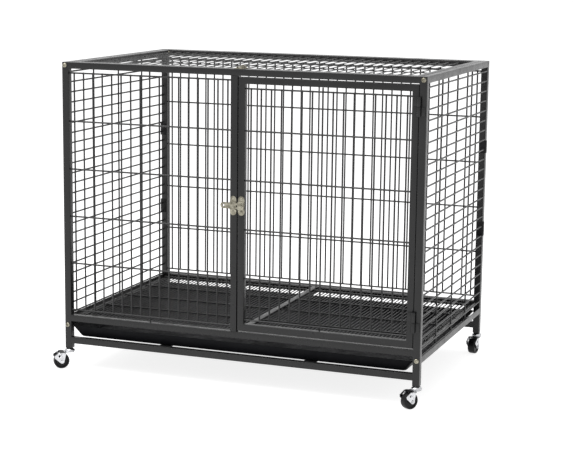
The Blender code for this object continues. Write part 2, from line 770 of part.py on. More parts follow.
def build_tray(tray_material, slat_material):
    """A sheet tray with flared sides and an upright lip, on two flat strips across the lower beams."""
    slat_low = BASE + LOWER_BEAM_LEVEL + TUBE + GAP
    slat_high = slat_low + SLAT_HEIGHT - GAP
    rim_z = BASE + TRAY_TOP_LEVEL
    bm = bmesh.new()
    bmesh.ops.create_cube(bm, size=1.0)
    floor = tray_corners(slat_high + GAP, TRAY_RIM_INSET + TRAY_FLARE, TRAY_END_FLARE)
    flare = tray_corners(rim_z - TRAY_LIP, TRAY_RIM_INSET, 0.0)
    for vert in bm.verts:
        ring = flare if vert.co.z > 0 else floor
        vert.co = Vector((ring[vert.co.x > 0].x, ring[vert.co.y > 0].y, ring[0].z))
    lid = [face for face in bm.faces if all(vert.co.z > slat_high + TRAY_LIP for vert in face.verts)]
    bmesh.ops.delete(bm, geom=lid, context="FACES")
    rim = [edge for edge in bm.edges if edge.is_boundary]
    raised = bmesh.ops.extrude_edge_only(bm, edges=rim)["geom"]
    lip = [part for part in raised if isinstance(part, bmesh.types.BMVert)]
    bmesh.ops.translate(bm, verts=lip, vec=(0.0, 0.0, TRAY_LIP))
    bmesh.ops.recalc_face_normals(bm, faces=bm.faces)
    mesh = bpy.data.meshes.new("tray")
    bm.to_mesh(mesh)
    bm.free()
    tray = make_object("tray", mesh, tray_material)
    sheet = tray.modifiers.new("sheet", "SOLIDIFY")
    sheet.thickness = TRAY_SHEET
    sheet.offset = -1.0
    sheet.use_even_offset = True
    for side, inward in (("left", 1.0), ("right", -1.0)):
        centre = inward * (LEFT + SLAT_FROM_SIDE)
        low = Vector((centre - SLAT_WIDTH / 2, FRONT, slat_low))
        high = Vector((centre + SLAT_WIDTH / 2, BACK, slat_high))
        name = f"{side}_tray_slat"
        make_object(name, box_mesh(name, low, high), slat_material, middle(low, high))


def tray_corners(level, side_inset, end_flare):
    """The front left and back right corners of one of the tray's levels."""
    low = Vector((LEFT + side_inset, FRONT + TRAY_FRONT_INSET + end_flare, level))
    high = Vector((RIGHT - side_inset, BACK - TRAY_BACK_INSET - end_flare, level))
    return low, high


def build_hinges(material):
    """Weld-on barrel hinges: the lower half with its pin is on the post, the upper half is on the door."""
    axis_x = RIGHT - TUBE - DOOR_SIDE_GAP / 2
    axis_y = FRONT - HINGE_RADIUS - GAP
    bore = HINGE_PIN_RADIUS + HINGE_CLEARANCE
    for label, (low, high) in zip(("lower", "upper"), HINGE_LEVELS):
        z_low = BASE + low
        z_high = BASE + high
        z_split = (z_low + z_high) / 2
        name = f"{label}_hinge_post_half"
        half = hinge_half(name, axis_x, axis_y, z_low, z_split, 1.0, material)
        start = (axis_x, axis_y, z_low + HINGE_RADIUS)
        end = (axis_x, axis_y, z_high - HINGE_RADIUS)
        pin = cylinder_cutter(f"{name}_pin", HINGE_PIN_RADIUS, start, end, "Z")
        combine(half, pin, "UNION")
        name = f"{label}_hinge_door_half"
        half = hinge_half(name, axis_x, axis_y, z_split + GAP, z_high, -1.0, material)
        start = (axis_x, axis_y, z_split - HINGE_RADIUS)
        end = (axis_x, axis_y, z_high - HINGE_RADIUS + GAP)
        hole = cylinder_cutter(f"{name}_bore", bore, start, end, "Z")
        combine(half, hole, "DIFFERENCE")


def hinge_half(name, x, y, z_low, z_high, side, material):
    """A barrel with a welding tab towards +X or -X."""
    start = (x, y, z_low)
    end = (x, y, z_high)
    mesh = cylinder_mesh(name, HINGE_RADIUS, z_high - z_low, "Z", ROUND_SIDES)
    half = make_object(name, mesh, material, middle(start, end))
    tab_ends = sorted((x + side * HINGE_RADIUS / 2, x + side * (HINGE_RADIUS + HINGE_TAB)))
    low = (tab_ends[0], FRONT - GAP - HINGE_TAB_THICKNESS, z_low)
    high = (tab_ends[1], FRONT - GAP, z_high)
    combine(half, box_cutter(f"{name}_tab", low, high), "UNION")
    return half


def stadium(spread, radius):
    """An outline with round ends: the ends' centres are at plus and minus the spread along Y."""
    points = []
    for centre, start in ((spread, 0.0), (-spread, math.pi)):
        for step in range(LOBE_STEPS + 1):
            angle = start + math.pi * step / LOBE_STEPS
            points.append((radius * math.cos(angle), centre + radius * math.sin(angle)))
    return points


def circle(x, y, radius, steps=ROUND_SIDES):
    turns = [2 * math.pi * step / steps for step in range(steps)]
    return [(x + radius * math.cos(turn), y + radius * math.sin(turn)) for turn in turns]


def latch_box(name, place, low, high):
    """A box in the latch's own frame, as a helper in world space."""
    mesh = box_mesh(name, low, high)
    mesh.transform(place @ Matrix.Translation(middle(low, high)))
    return make_cutter(name, mesh)


def slide_bolt(prefix, sizes, place, material):
    """A guide on the moving panel, a keeper on the frame, and a flat bolt that lies across both.

    In the latch's frame X runs along the bolt towards the guide, Y across it and Z out from the face.
    The origin is over the gap between the panel and the frame.
    """
    bolt_low = 2 * GAP + LATCH_PLATE
    bolt_high = bolt_low + sizes["bolt_thickness"]
    walled_plate(f"{prefix}_keeper", sizes, -sizes["keeper_from_gap"], bolt_high, place, material)
    guide = walled_plate(
        f"{prefix}_guide", sizes, sizes["guide_from_gap"], bolt_high + GAP, place, material
    )
    close_guide(guide, sizes, bolt_high + GAP, place)
    flat_bolt(f"{prefix}_bolt", sizes, (bolt_low + bolt_high) / 2, place, material)


def bolt_walls(sizes):
    """Where the walls beside a bolt start and end, across it, and half their length along it."""
    wall_low = sizes["bolt_width"] / 2 + GAP
    return wall_low, wall_low + LATCH_WALL, sizes["plate_width"] / 2 - GAP


def walled_plate(name, sizes, x, top, place, material):
    """A plate with round ends and a wall on each side of its bolt, up to the given height."""
    wall_low, wall_high, reach = bolt_walls(sizes)
    outline = stadium(sizes["lobe_spread"], sizes["plate_width"] / 2)
    seat = place @ Matrix.Translation((x, 0.0, GAP + LATCH_PLATE / 2))
    plate = make_object(name, outline_mesh(name, [outline], LATCH_PLATE, seat), material)
    for label, low_y, high_y in (("a", wall_low, wall_high), ("b", -wall_high, -wall_low)):
        low = (x - reach, low_y, GAP + LATCH_PLATE / 2)
        high = (x + reach, high_y, top + LATCH_PLATE / 2)
        combine(plate, latch_box(f"{name}_wall_{label}", place, low, high), "UNION")
    return plate


def close_guide(guide, sizes, top, place):
    """Bridges a guide's walls over the bolt and sets a boss on the bridge."""
    x = sizes["guide_from_gap"]
    wall_high, reach = bolt_walls(sizes)[1:]
    low = (x - reach, -wall_high, top)
    high = (x + reach, wall_high, top + LATCH_PLATE)
    combine(guide, latch_box(f"{guide.name}_bridge", place, low, high), "UNION")
    mesh = cylinder_mesh(f"{guide.name}_boss", sizes["boss_radius"], LATCH_BOSS, "Z", ROUND_SIDES)
    mesh.transform(place @ Matrix.Translation((x, 0.0, top + (LATCH_PLATE + LATCH_BOSS) / 2)))
    combine(guide, make_cutter(f"{guide.name}_boss", mesh), "UNION")


def flat_bolt(name, sizes, level, place, material):
    """A flat bar with a round end and an eye in it."""
    half = sizes["bolt_width"] / 2
    eye_x = half - sizes["reach"]
    outline = [(sizes["tail"], -half), (sizes["tail"], half)]
    for step in range(LOBE_STEPS + 1):
        angle = math.pi / 2 + math.pi * step / LOBE_STEPS
        outline.append((eye_x + half * math.cos(angle), half * math.sin(angle)))
    eye = circle(eye_x, 0.0, sizes["eye_radius"])
    seat = place @ Matrix.Translation((0.0, 0.0, level))
    mesh = outline_mesh(name, [outline, eye], sizes["bolt_thickness"], seat)
    make_object(name, mesh, material)


def build_latches(material):
    gap_x = MIDDLE_POST_RIGHT + DOOR_SIDE_GAP / 2
    out_front = Matrix(((1, 0, 0, 0), (0, 0, -1, 0), (0, 1, 0, 0), (0, 0, 0, 1)))
    place = Matrix.Translation((gap_x, FRONT, BASE + DOOR_LATCH_LEVEL)) @ out_front
    slide_bolt("door_latch", DOOR_LATCH, place, material)
    gap_y = FRONT + TUBE + LID_GAP / 2
    up_top = Matrix(((0, -1, 0, 0), (1, 0, 0, 0), (0, 0, 1, 0), (0, 0, 0, 1)))
    place = Matrix.Translation((LID_LATCH_FROM_MIDDLE, gap_y, TOP)) @ up_top
    slide_bolt("lid_latch", LID_LATCH, place, material)


def castor_housing(name, x, y, material):
    """The fixed part: a stem in the post, a collar under it and the swivel's domed housing."""
    low = -HOUSING_HEIGHT
    profile = [
        (0.0, STEM_LENGTH),
        (STEM_RADIUS, STEM_LENGTH),
        (STEM_RADIUS, -GAP),
        (COLLAR_RADIUS, -GAP),
        (COLLAR_RADIUS, -COLLAR_HEIGHT),
        (HOUSING_RADIUS, low / 2),
        (HOUSING_RADIUS, low),
        (KINGPIN_RADIUS + GAP, low),
        (KINGPIN_RADIUS + GAP, low + KINGPIN_HEIGHT + GAP),
        (0.0, low + KINGPIN_HEIGHT + GAP),
    ]
    make_object(name, turned_mesh(name, profile, TURN_STEPS), material, (x, y, BASE))


def axle_place(x, y):
    return Vector((x - CASTOR_TRAIL, y, WHEEL_RADIUS))


def castor_fork(name, x, y, material):
    """The swivelling part: a kingpin, a top plate, two cheeks, the axle and its nuts."""
    top = BASE - HOUSING_HEIGHT - GAP
    low = (x - FORK_HALF_LENGTH, y - FORK_OUTER, top - FORK_SHEET)
    high = (x + FORK_HALF_LENGTH, y + FORK_OUTER, top)
    fork = make_object(name, box_mesh(name, low, high), material, middle(low, high))
    start = (x, y, top - FORK_SHEET / 2)
    end = (x, y, top + KINGPIN_HEIGHT)
    combine(fork, cylinder_cutter(f"{name}_kingpin", KINGPIN_RADIUS, start, end, "Z", SHAFT_SIDES), "UNION")
    axle = axle_place(x, y)
    drop = axle.z - (top - FORK_SHEET / 2)
    outline = [
        (FORK_HALF_LENGTH, 0.0),
        (-FORK_HALF_LENGTH, 0.0),
    ]
    for step in range(LOBE_STEPS + 1):
        angle = math.pi * (1 + step / LOBE_STEPS)
        boss_x = FORK_BOSS_RADIUS * math.cos(angle) - CASTOR_TRAIL
        outline.append((boss_x, drop + FORK_BOSS_RADIUS * math.sin(angle)))
    upright = Matrix.Rotation(math.pi / 2, 4, "X")
    for label, side in (("front", -1.0), ("back", 1.0)):
        place = (x, y + side * (FORK_INNER + FORK_OUTER) / 2, top - FORK_SHEET / 2)
        mesh = outline_mesh(f"{name}_{label}_cheek", [outline], FORK_SHEET, upright)
        combine(fork, make_cutter(f"{name}_{label}_cheek", mesh, place), "UNION")
    reach = Vector((0.0, (NUT_FACE + NUT_END) / 2, 0.0))
    shaft = cylinder_cutter(f"{name}_axle", AXLE_RADIUS, axle - reach, axle + reach, "Y", SHAFT_SIDES)
    combine(fork, shaft, "UNION")
    for label, side in (("front", -1.0), ("back", 1.0)):
        start = axle + Vector((0.0, side * NUT_FACE, 0.0))
        end = axle + Vector((0.0, side * NUT_END, 0.0))
        nut = cylinder_cutter(f"{name}_{label}_nut", NUT_RADIUS, start, end, "Y", NUT_SIDES)
        combine(fork, nut, "UNION")


def castor_wheel(name, x, y, material):
    half = WHEEL_WIDTH / 2
    tread = WHEEL_TREAD_WIDTH / 2
    bore = AXLE_RADIUS + AXLE_CLEARANCE
    profile = [
        (WHEEL_RADIUS - WHEEL_SHOULDER, half),
        (WHEEL_RADIUS, tread),
        (WHEEL_RADIUS, -tread),
        (WHEEL_RADIUS - WHEEL_SHOULDER, -half),
        (bore, -half),
        (bore, half),
    ]
    mesh = turned_mesh(name, profile, WHEEL_STEPS, axis="Y", closed=True)
    make_object(name, mesh, material, axle_place(x, y))


def castor_brake(name, x, y, material):
    """A brake lever: two cheeks on the axle and a pedal that curves over the wheel's trailing side."""
    pad_low = WHEEL_RADIUS + BRAKE_WHEEL_GAP
    pad_high = pad_low + BRAKE_PAD_SHEET
    axle = axle_place(x, y)
    turns = [
        math.radians(BRAKE_START + BRAKE_SWEEP * step / BRAKE_ARC_STEPS)
        for step in range(BRAKE_ARC_STEPS + 1)
    ]
    pad = [(pad_high * math.cos(turn), pad_high * math.sin(turn)) for turn in turns]
    pad += [(pad_low * math.cos(turn), pad_low * math.sin(turn)) for turn in reversed(turns)]
    upright = Matrix.Rotation(math.pi / 2, 4, "X")
    brake = make_object(name, outline_mesh(name, [pad], 2 * BRAKE_OUTER, upright), material, axle)
    start = turns[BRAKE_CHEEK_FIRST_STEP]
    end = turns[-2]
    pad_middle = (pad_low + pad_high) / 2
    cheek = [
        (pad_middle * math.cos(start), pad_middle * math.sin(start)),
        (pad_middle * math.cos(end), pad_middle * math.sin(end)),
    ]
    for step in range(LOBE_STEPS + 1):
        angle = end + math.pi / 2 - math.radians(BRAKE_CHEEK_LEAN) + math.pi * step / LOBE_STEPS
        cheek.append((FORK_BOSS_RADIUS * math.cos(angle), FORK_BOSS_RADIUS * math.sin(angle)))
    bore = circle(0.0, 0.0, AXLE_RADIUS + AXLE_CLEARANCE)
    for label, side in (("front", -1.0), ("back", 1.0)):
        place = axle + Vector((0.0, side * (BRAKE_INNER + BRAKE_OUTER) / 2, 0.0))
        mesh = outline_mesh(f"{name}_{label}_cheek", [cheek, bore], BRAKE_SHEET, upright)
        combine(brake, make_cutter(f"{name}_{label}_cheek", mesh, place), "UNION")


def build_castors(chrome, wheel_material, brake_material):
    for place, x, y in stem_places():
        castor_housing(f"{place}_castor_housing", x, y, chrome)
        castor_fork(f"{place}_castor_fork", x, y, chrome)
        castor_wheel(f"{place}_wheel", x, y, wheel_material)
        castor_brake(f"{place}_brake", x, y, brake_material)
        turn_castor(place, x, y)


def every_item():
    """The visible pieces and their helpers."""
    for name in (COLLECTION_NAME, CUTTER_COLLECTION_NAME):
        yield from bpy.data.collections[name].objects


def turn_castor(place, x, y):
    """Carries a castor's fork, wheel and brake on an empty that is turned about its stem."""
    swivelling = (f"{place}_castor_fork", f"{place}_wheel", f"{place}_brake")
    turn = Matrix.Rotation(math.radians(CASTOR_TURNS[place]), 3, "Z")
    stem = Vector((x, y, 0.0))
    carrier = bpy.data.objects.new(f"{place}_castor_turn", None)
    carrier.location = stem - turn @ stem
    carrier.rotation_euler = turn.to_euler()
    for item in list(every_item()):
        if item.name.startswith(swivelling):
            item.parent = carrier
    bpy.data.collections[COLLECTION_NAME].objects.link(carrier)


def place_on_origin():
    """Carries everything on one empty, so that the middle of the crate's box stands on the origin."""
    carrier = bpy.data.objects.new("crate_centre", None)
    carrier.location = (-crate_middle()).to_3d()
    for item in every_item():
        if item.parent is None:
            item.parent = carrier
    bpy.data.collections[COLLECTION_NAME].objects.link(carrier)


def main():
    clear_scene()
    make_collection(COLLECTION_NAME)
    make_collection(CUTTER_COLLECTION_NAME)
    frame_paint = make_material("frame_paint", FRAME_BLACK, 0.45, 0.2)
    wire_paint = make_material("wire_paint", WIRE_BLACK, 0.45, 0.2)
    tray_finish = make_material("tray_finish", TRAY_BLACK, 0.5, 0.0)
    nickel = make_material("nickel", NICKEL, 0.3, 1.0)
    chrome = make_material("chrome", CHROME, 0.15, 1.0)
    wheel_finish = make_material("wheel_finish", WHEEL_BLACK, 0.5, 0.0)
    build_posts(frame_paint)
    build_beams(frame_paint)
    build_front_and_back_mats(wire_paint)
    build_side_mats(wire_paint)
    build_door(frame_paint, wire_paint)
    build_lid(frame_paint, wire_paint, nickel)
    build_bearers(frame_paint)
    build_grates(wire_paint)
    build_tray(tray_finish, frame_paint)
    build_hinges(frame_paint)
    build_latches(nickel)
    build_castors(chrome, wheel_finish, wheel_finish)
    place_on_origin()


main()
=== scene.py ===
"""Wire dog crate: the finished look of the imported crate, laid out as a Blender add-on.

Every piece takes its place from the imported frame, in metres, with +Z up and the front at -Y. Round wires,
rounded tubes, bolts, hinges, slide bolts and castors stand for the plainer solids of the frame.
"""

import math

import bmesh
import bpy
from bpy.props import FloatProperty, FloatVectorProperty, IntProperty, PointerProperty
from mathutils import Matrix, Vector


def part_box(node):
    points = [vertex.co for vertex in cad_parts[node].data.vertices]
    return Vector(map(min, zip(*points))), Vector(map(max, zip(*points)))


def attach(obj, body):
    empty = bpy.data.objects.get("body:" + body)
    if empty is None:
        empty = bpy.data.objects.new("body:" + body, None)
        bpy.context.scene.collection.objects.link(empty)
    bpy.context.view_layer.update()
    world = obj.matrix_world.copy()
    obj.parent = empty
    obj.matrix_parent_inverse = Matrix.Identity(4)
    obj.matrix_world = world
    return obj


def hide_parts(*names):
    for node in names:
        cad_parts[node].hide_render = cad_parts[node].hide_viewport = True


bl_info = {
    "name": "Wire Dog Crate",
    "version": (1, 0, 0),
    "blender": (4, 5, 0),
    "location": "View3D > Sidebar > Dog Crate",
    "description": "Builds the finished pieces of a wire dog crate on castors over its packed frame",
    "category": "Object",
}

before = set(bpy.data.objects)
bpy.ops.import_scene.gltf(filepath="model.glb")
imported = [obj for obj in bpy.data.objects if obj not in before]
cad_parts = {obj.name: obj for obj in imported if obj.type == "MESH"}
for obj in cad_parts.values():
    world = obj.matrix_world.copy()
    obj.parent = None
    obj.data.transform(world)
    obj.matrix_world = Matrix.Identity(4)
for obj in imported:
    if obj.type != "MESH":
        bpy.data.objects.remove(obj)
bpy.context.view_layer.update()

TUBE = 0.016  # the square tube
POST_EXTRA = 0.0013  # how far each corner post is widened inwards
SEAM = 0.0003  # the air that the frame leaves between fixed neighbours
CAD_WIRE = 0.004  # the wires of the frame's mats and grates
ANGLE_SHEET = 0.002  # the angles along the sides
EASE = 0.0005  # eased edges of sheet and pressed metal
FINE_EASE = 0.0004
SMOOTH_BELOW = math.radians(35.0)
QUARTER_TURN = math.radians(90.0)
CORNERS = ("front_left", "front_right", "back_left", "back_right")
SIDES = (("left", -1.0), ("right", 1.0))


# Properties


def a_length(name, default, description):
    return FloatProperty(name=name, description=description, default=default, unit="LENGTH")


def a_count(name, default, description, least=2):
    return IntProperty(name=name, description=description, default=default, min=least)


def a_turn(name, degrees, description):
    return FloatProperty(
        name=name, description=description, default=math.radians(degrees), subtype="ANGLE"
    )


def a_colour(name, default, description):
    return FloatVectorProperty(name=name, description=description, default=default, subtype="COLOR")


class CrateSizes(bpy.types.PropertyGroup):
    """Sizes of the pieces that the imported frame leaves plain."""

    tube_rounding: a_length("Tube rounding", 0.0008, "Radius along the edges of the square tubes")
    wire_radius: a_length("Wire radius", 0.0021, "Radius of the round wires in the mats")
    lid_wire_radius: a_length("Lid wire radius", 0.0013, "Radius of the round wires in the lid")
    wire_sides: a_count("Wire sides", 10, "Sides of each round wire", 6)
    weld_radius: a_length("Weld radius", 0.0024, "Reach of the spot weld where two wires cross")
    bar_count_front: a_count("Front bars", 17, "Upright bars left of the middle post")
    bar_count_door: a_count("Door bars", 16, "Upright bars in the door")
    bar_count_back: a_count("Back bars", 35, "Upright bars in the back")
    bar_count_lid: a_count("Lid bars", 34, "Bars from front to back in the lid")
    row_count_side: a_count("Side rows", 25, "Level wires in each side")
    grate_wire_radius: a_length("Grate wire radius", 0.0015, "Radius of the close wires of the grates")
    grate_pitch: a_length("Grate pitch", 0.0103, "Spacing of the close wires of the grates")
    tray_corner: a_length("Tray corner", 0.008, "Radius of the tray's upright corners")
    castor_trail: a_length("Castor trail", 0.022, "From the castor's stem to its axle")
    wheel_radius: a_length("Wheel radius", 0.020, "Radius of the castor wheels")
    wheel_half_width: a_length("Wheel half width", 0.0095, "Half the width of a castor wheel")
    turn_front_left: a_turn("Front left turn", 38.0, "Turn of the front left castor about its stem")
    turn_front_right: a_turn("Front right turn", 57.0, "Turn of the front right castor about its stem")
    turn_back_left: a_turn("Back left turn", 60.0, "Turn of the back left castor about its stem")
    turn_back_right: a_turn("Back right turn", 83.0, "Turn of the back right castor about its stem")


class CrateFinishes(bpy.types.PropertyGroup):
    """Colours and gloss of the crate's finishes."""

    tube_colour: a_colour("Tube paint", (0.0095, 0.0095, 0.0098), "Powder coat on the tubes")
    wire_colour: a_colour("Wire paint", (0.014, 0.014, 0.0145), "Paint on the round wires")
    tray_colour: a_colour("Tray", (0.0035, 0.0036, 0.0045), "Colour of the dirt tray")
    nickel_colour: a_colour("Nickel", (0.40, 0.38, 0.31), "Warm plating on bolts and latches")
    chrome_colour: a_colour("Chrome", (0.70, 0.71, 0.73), "Plating on the castors")
    wheel_colour: a_colour("Wheels", (0.004, 0.004, 0.0045), "Moulded black of wheels, brakes and collars")
    tube_gloss: FloatProperty(
        name="Tube roughness", description="Roughness of the tube paint", default=0.27, subtype="FACTOR"
    )


class CrateStudio(bpy.types.PropertyGroup):
    """Camera and light."""

    camera_place: FloatVectorProperty(
        name="Camera place",
        description="Where the camera stands",
        default=(1.470083, -3.803061, 1.070520),
        subtype="TRANSLATION",
    )
    camera_yaw: a_turn("Yaw", 20.6265, "Turn of the view from straight ahead to the left")
    camera_pitch: a_turn("Pitch", 10.0609, "How far the view looks down")
    camera_roll: a_turn("Roll", 0.7028, "Roll of the view")
    camera_lens: FloatProperty(name="Lens", description="Focal length in millimetres", default=99.864)
    sky_low: FloatProperty(name="Low sky", description="Soft light near the horizon", default=0.38)
    sky_high: FloatProperty(name="High sky", description="Soft light from overhead", default=1.0)
    key_power: FloatProperty(
        name="Key power", description="Power of the large lamp overhead, in watts", default=95.0
    )


def sizes():
    return bpy.context.scene.crate_sizes


def finishes():
    return bpy.context.scene.crate_finishes


# Working by hand: helpers round Blender's own tools


def deselect():
    bpy.ops.object.select_all(action="DESELECT")


def pick_only(*pieces):
    """Selects these pieces alone, the first one active."""
    deselect()
    for piece in pieces:
        piece.select_set(True)
    bpy.context.view_layer.objects.active = pieces[0]


def set_down(piece, place=None):
    """Takes a piece's place and turn into its mesh, after moving it if a place is given."""
    if place is not None:
        piece.matrix_world = place
    pick_only(piece)
    bpy.ops.object.transform_apply(location=True, rotation=True, scale=True)
    return piece


def named(name):
    """Names the piece that a tool has just made."""
    piece = bpy.context.object
    piece.name = name
    piece.data.name = name
    return piece


def block(name, low, high):
    deselect()
    low = Vector(low)
    high = Vector(high)
    bpy.ops.mesh.primitive_cube_add(size=1.0, location=(low + high) / 2, scale=high - low)
    return set_down(named(name))


def rod(name, start, end, radius, sides):
    """A rod from one point to another."""
    deselect()
    run = Vector(end) - Vector(start)
    bpy.ops.mesh.primitive_cylinder_add(
        vertices=sides,
        radius=radius,
        depth=run.length,
        location=(Vector(start) + Vector(end)) / 2,
        rotation=run.to_track_quat("Z", "Y").to_euler(),
    )
    return set_down(named(name))


def pick_in(piece, kind, chosen):
    """Opens a piece for editing with the vertices, edges or faces selected that the test picks."""
    pick_only(piece)
    bpy.ops.object.mode_set(mode="EDIT")
    bpy.ops.mesh.select_mode(type=kind)
    bpy.ops.mesh.select_all(action="DESELECT")
    work = bmesh.from_edit_mesh(piece.data)
    for item in {"VERT": work.verts, "EDGE": work.edges, "FACE": work.faces}[kind]:
        if chosen(item):
            item.select_set(True)
    work.select_flush_mode()
    bmesh.update_edit_mesh(piece.data)


def pick_all(piece):
    pick_in(piece, "VERT", lambda vert: True)


def leave():
    bpy.ops.object.mode_set(mode="OBJECT")


def runs_along(edge, axes):
    """True for an edge that is parallel to one of the named axes."""
    run = (edge.verts[1].co - edge.verts[0].co).normalized()
    return any(abs(run["XYZ".index(axis)]) > 0.9999 for axis in axes)


def every_edge(edge):
    return edge.is_manifold and edge.calc_face_angle(0.0) > SMOOTH_BELOW


def round_off(piece, chosen, radius, segments=2):
    pick_in(piece, "EDGE", chosen)
    bpy.ops.mesh.bevel(offset=radius, segments=segments, affect="EDGES")
    leave()
    return piece


def face_out(piece):
    pick_all(piece)
    bpy.ops.mesh.remove_doubles(threshold=0.000001)
    bpy.ops.mesh.normals_make_consistent(inside=False)
    leave()
    return piece


def join(name, parts):
    pick_only(*parts)
    if len(parts) > 1:
        bpy.ops.object.join()
    return named(name)


def hull(name, parts):
    """One convex piece round several parts."""
    piece = join(name, parts)
    pick_all(piece)
    bpy.ops.mesh.convex_hull()
    bpy.ops.mesh.dissolve_limited(angle_limit=math.radians(1.0))
    leave()
    return face_out(piece)


def copy_of(piece, name, shift=(0.0, 0.0, 0.0)):
    """A copy with its own mesh, moved by the shift."""
    pick_only(piece)
    bpy.ops.object.duplicate(linked=False)
    bpy.ops.transform.translate(value=shift)
    return set_down(named(name))


def apply_new(piece, kind, **values):
    """Adds a modifier with these values and applies it."""
    pick_only(piece)
    step = piece.modifiers.new("step", kind)
    for name, value in values.items():
        setattr(step, name, value)
    bpy.ops.object.modifier_apply(modifier=step.name)


def repeat(piece, count, step):
    """Repeats a piece in a row, as one mesh."""
    apart = {"use_relative_offset": False, "use_constant_offset": True, "constant_offset_displace": step}
    apply_new(piece, "ARRAY", count=count, **apart)


def discard(*pieces):
    for piece in pieces:
        bpy.data.objects.remove(piece, do_unlink=True)


def cut(piece, cutter):
    """Cuts one piece out of another and throws the cutter away."""
    apply_new(piece, "BOOLEAN", operation="DIFFERENCE", solver="EXACT", object=cutter)
    discard(cutter)


def turned(name, rings, sides):
    """A piece turned about the upright axis from (radius, height) rings, each extruded from the last."""
    deselect()
    radius, height = rings[0]
    bpy.ops.mesh.primitive_circle_add(
        vertices=sides, radius=radius, fill_type="NGON", location=(0.0, 0.0, height)
    )
    piece = set_down(named(name))
    pick_in(piece, "FACE", lambda face: True)
    for (wide, low), (next_wide, next_low) in zip(rings, rings[1:]):
        bpy.ops.mesh.extrude_region_move(TRANSFORM_OT_translate={"value": (0.0, 0.0, next_low - low)})
        share = next_wide / wide
        bpy.ops.transform.resize(value=(share, share, 1.0), center_override=(0.0, 0.0, next_low))
    leave()
    return face_out(piece)


def stem_of(corner):
    """The foot of a post, in the middle of the castor under it."""
    low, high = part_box(f"{corner}_castor_housing")
    post_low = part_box(f"{corner}_post")[0]
    return Vector(((low.x + high.x) / 2, (low.y + high.y) / 2, post_low.z))


def places_between(low, high, count):
    """Places with half a space at each end."""
    step = (high - low) / count
    return [low + step * (index + 0.5) for index in range(count)]


def evenly(first, last, count):
    return [first + (last - first) * index / (count - 1) for index in range(count)]


def on_axes(*shares):
    """The point that has these values on the named axes and 0 on the rest."""
    point = Vector()
    for axis, value in shares:
        point["XYZ".index(axis)] = value
    return point


# Finishes


def fill(tree, made, inputs):
    """Links each input to the output that is given for it, or sets it to the value."""
    for label, value in inputs.items():
        if isinstance(value, bpy.types.NodeSocket):
            tree.links.new(value, made.inputs[label])
        else:
            made.inputs[label].default_value = value


def node(tree, kind, inputs=None, **settings):
    made = tree.nodes.new(kind)
    for name, value in settings.items():
        setattr(made, name, value)
    fill(tree, made, inputs or {})
    return made


def noise(tree, vector, scale, detail, roughness=0.5):
    inputs = {"Vector": vector, "Scale": scale, "Detail": detail, "Roughness": roughness}
    return node(tree, "ShaderNodeTexNoise", inputs).outputs["Fac"]


def map_range(tree, source, low, high, start=0.0, end=1.0):
    """Maps a value from between start and end to between low and high."""
    inputs = {"Value": source, "From Min": start, "From Max": end, "To Min": low, "To Max": high}
    return node(tree, "ShaderNodeMapRange", inputs).outputs["Result"]


def spread_noise(tree, grain, low, high):
    """Maps the middle of a noise to a range."""
    return map_range(tree, grain, low, high, 0.3, 0.7)


def blend_colours(tree, factor, first, second):
    made = node(tree, "ShaderNodeMix", {"Factor": factor}, data_type="RGBA")
    colours = [item for item in made.inputs if item.type == "RGBA"]
    for source, target in zip((first, second), colours):
        tree.links.new(source, target)
    return next(item for item in made.outputs if item.type == "RGBA")


def open_skin(name, inputs):
    """A shared skin's tree and what it is given: the vector, and these inputs with their defaults."""
    tree = bpy.data.node_groups.new(name, "ShaderNodeTree")
    tree.interface.new_socket(name="Vector", in_out="INPUT", socket_type="NodeSocketVector")
    for label, value in inputs.items():
        kind = "NodeSocketFloat" if isinstance(value, float) else "NodeSocketColor"
        socket = tree.interface.new_socket(name=label, in_out="INPUT", socket_type=kind)
        socket.default_value = value
    for label, kind in (("Colour", "Color"), ("Roughness", "Float"), ("Height", "Float")):
        tree.interface.new_socket(name=label, in_out="OUTPUT", socket_type=f"NodeSocket{kind}")
    return tree, node(tree, "NodeGroupInput").outputs


def close_skin(tree, given, second, patch_scale, grain, height):
    """Ends a skin: two colours in soft patches, the roughness by a grain, and its height."""
    patches = noise(tree, given["Vector"], patch_scale, 4.0, 0.6)
    mask = spread_noise(tree, patches, 0.0, 1.0)
    colour = blend_colours(tree, mask, given["Colour"], given[second])
    gloss = spread_noise(tree, grain, given["Low roughness"], given["High roughness"])
    node(tree, "NodeGroupOutput", {"Colour": colour, "Roughness": gloss, "Height": height})
    return tree


def cloudy_coat(name):
    """A sprayed or moulded skin: cloudy colour and gloss, and a fine pebbled height."""
    inputs = {"Colour": (0.03, 0.03, 0.03, 1.0), "Cloud colour": (0.05, 0.05, 0.05, 1.0)}
    inputs |= {"Low roughness": 0.3, "High roughness": 0.5, "Pebble scale": 900.0}
    tree, given = open_skin(name, inputs)
    smear = noise(tree, given["Vector"], 38.0, 3.0)
    pebble = noise(tree, given["Vector"], given["Pebble scale"], 2.0)
    return close_skin(tree, given, "Cloud colour", 9.0, smear, pebble)


def drawn_metal(name):
    """Plated metal: streaks along one way, tarnish in patches and a height for its bump."""
    inputs = {"Colour": (0.6, 0.6, 0.6, 1.0), "Tarnish": (0.4, 0.38, 0.33, 1.0)}
    inputs |= {"Low roughness": 0.1, "High roughness": 0.3}
    tree, given = open_skin(name, inputs)
    stretch = {"Vector": given["Vector"], "Scale": (140.0, 1400.0, 1400.0)}
    streak = noise(tree, node(tree, "ShaderNodeMapping", stretch).outputs["Vector"], 1.0, 2.0)
    return close_skin(tree, given, "Tarnish", 120.0, streak, streak)


def shared(name, make):
    """The skin of this name, made at its first use."""
    return bpy.data.node_groups.get(name) or make(name)


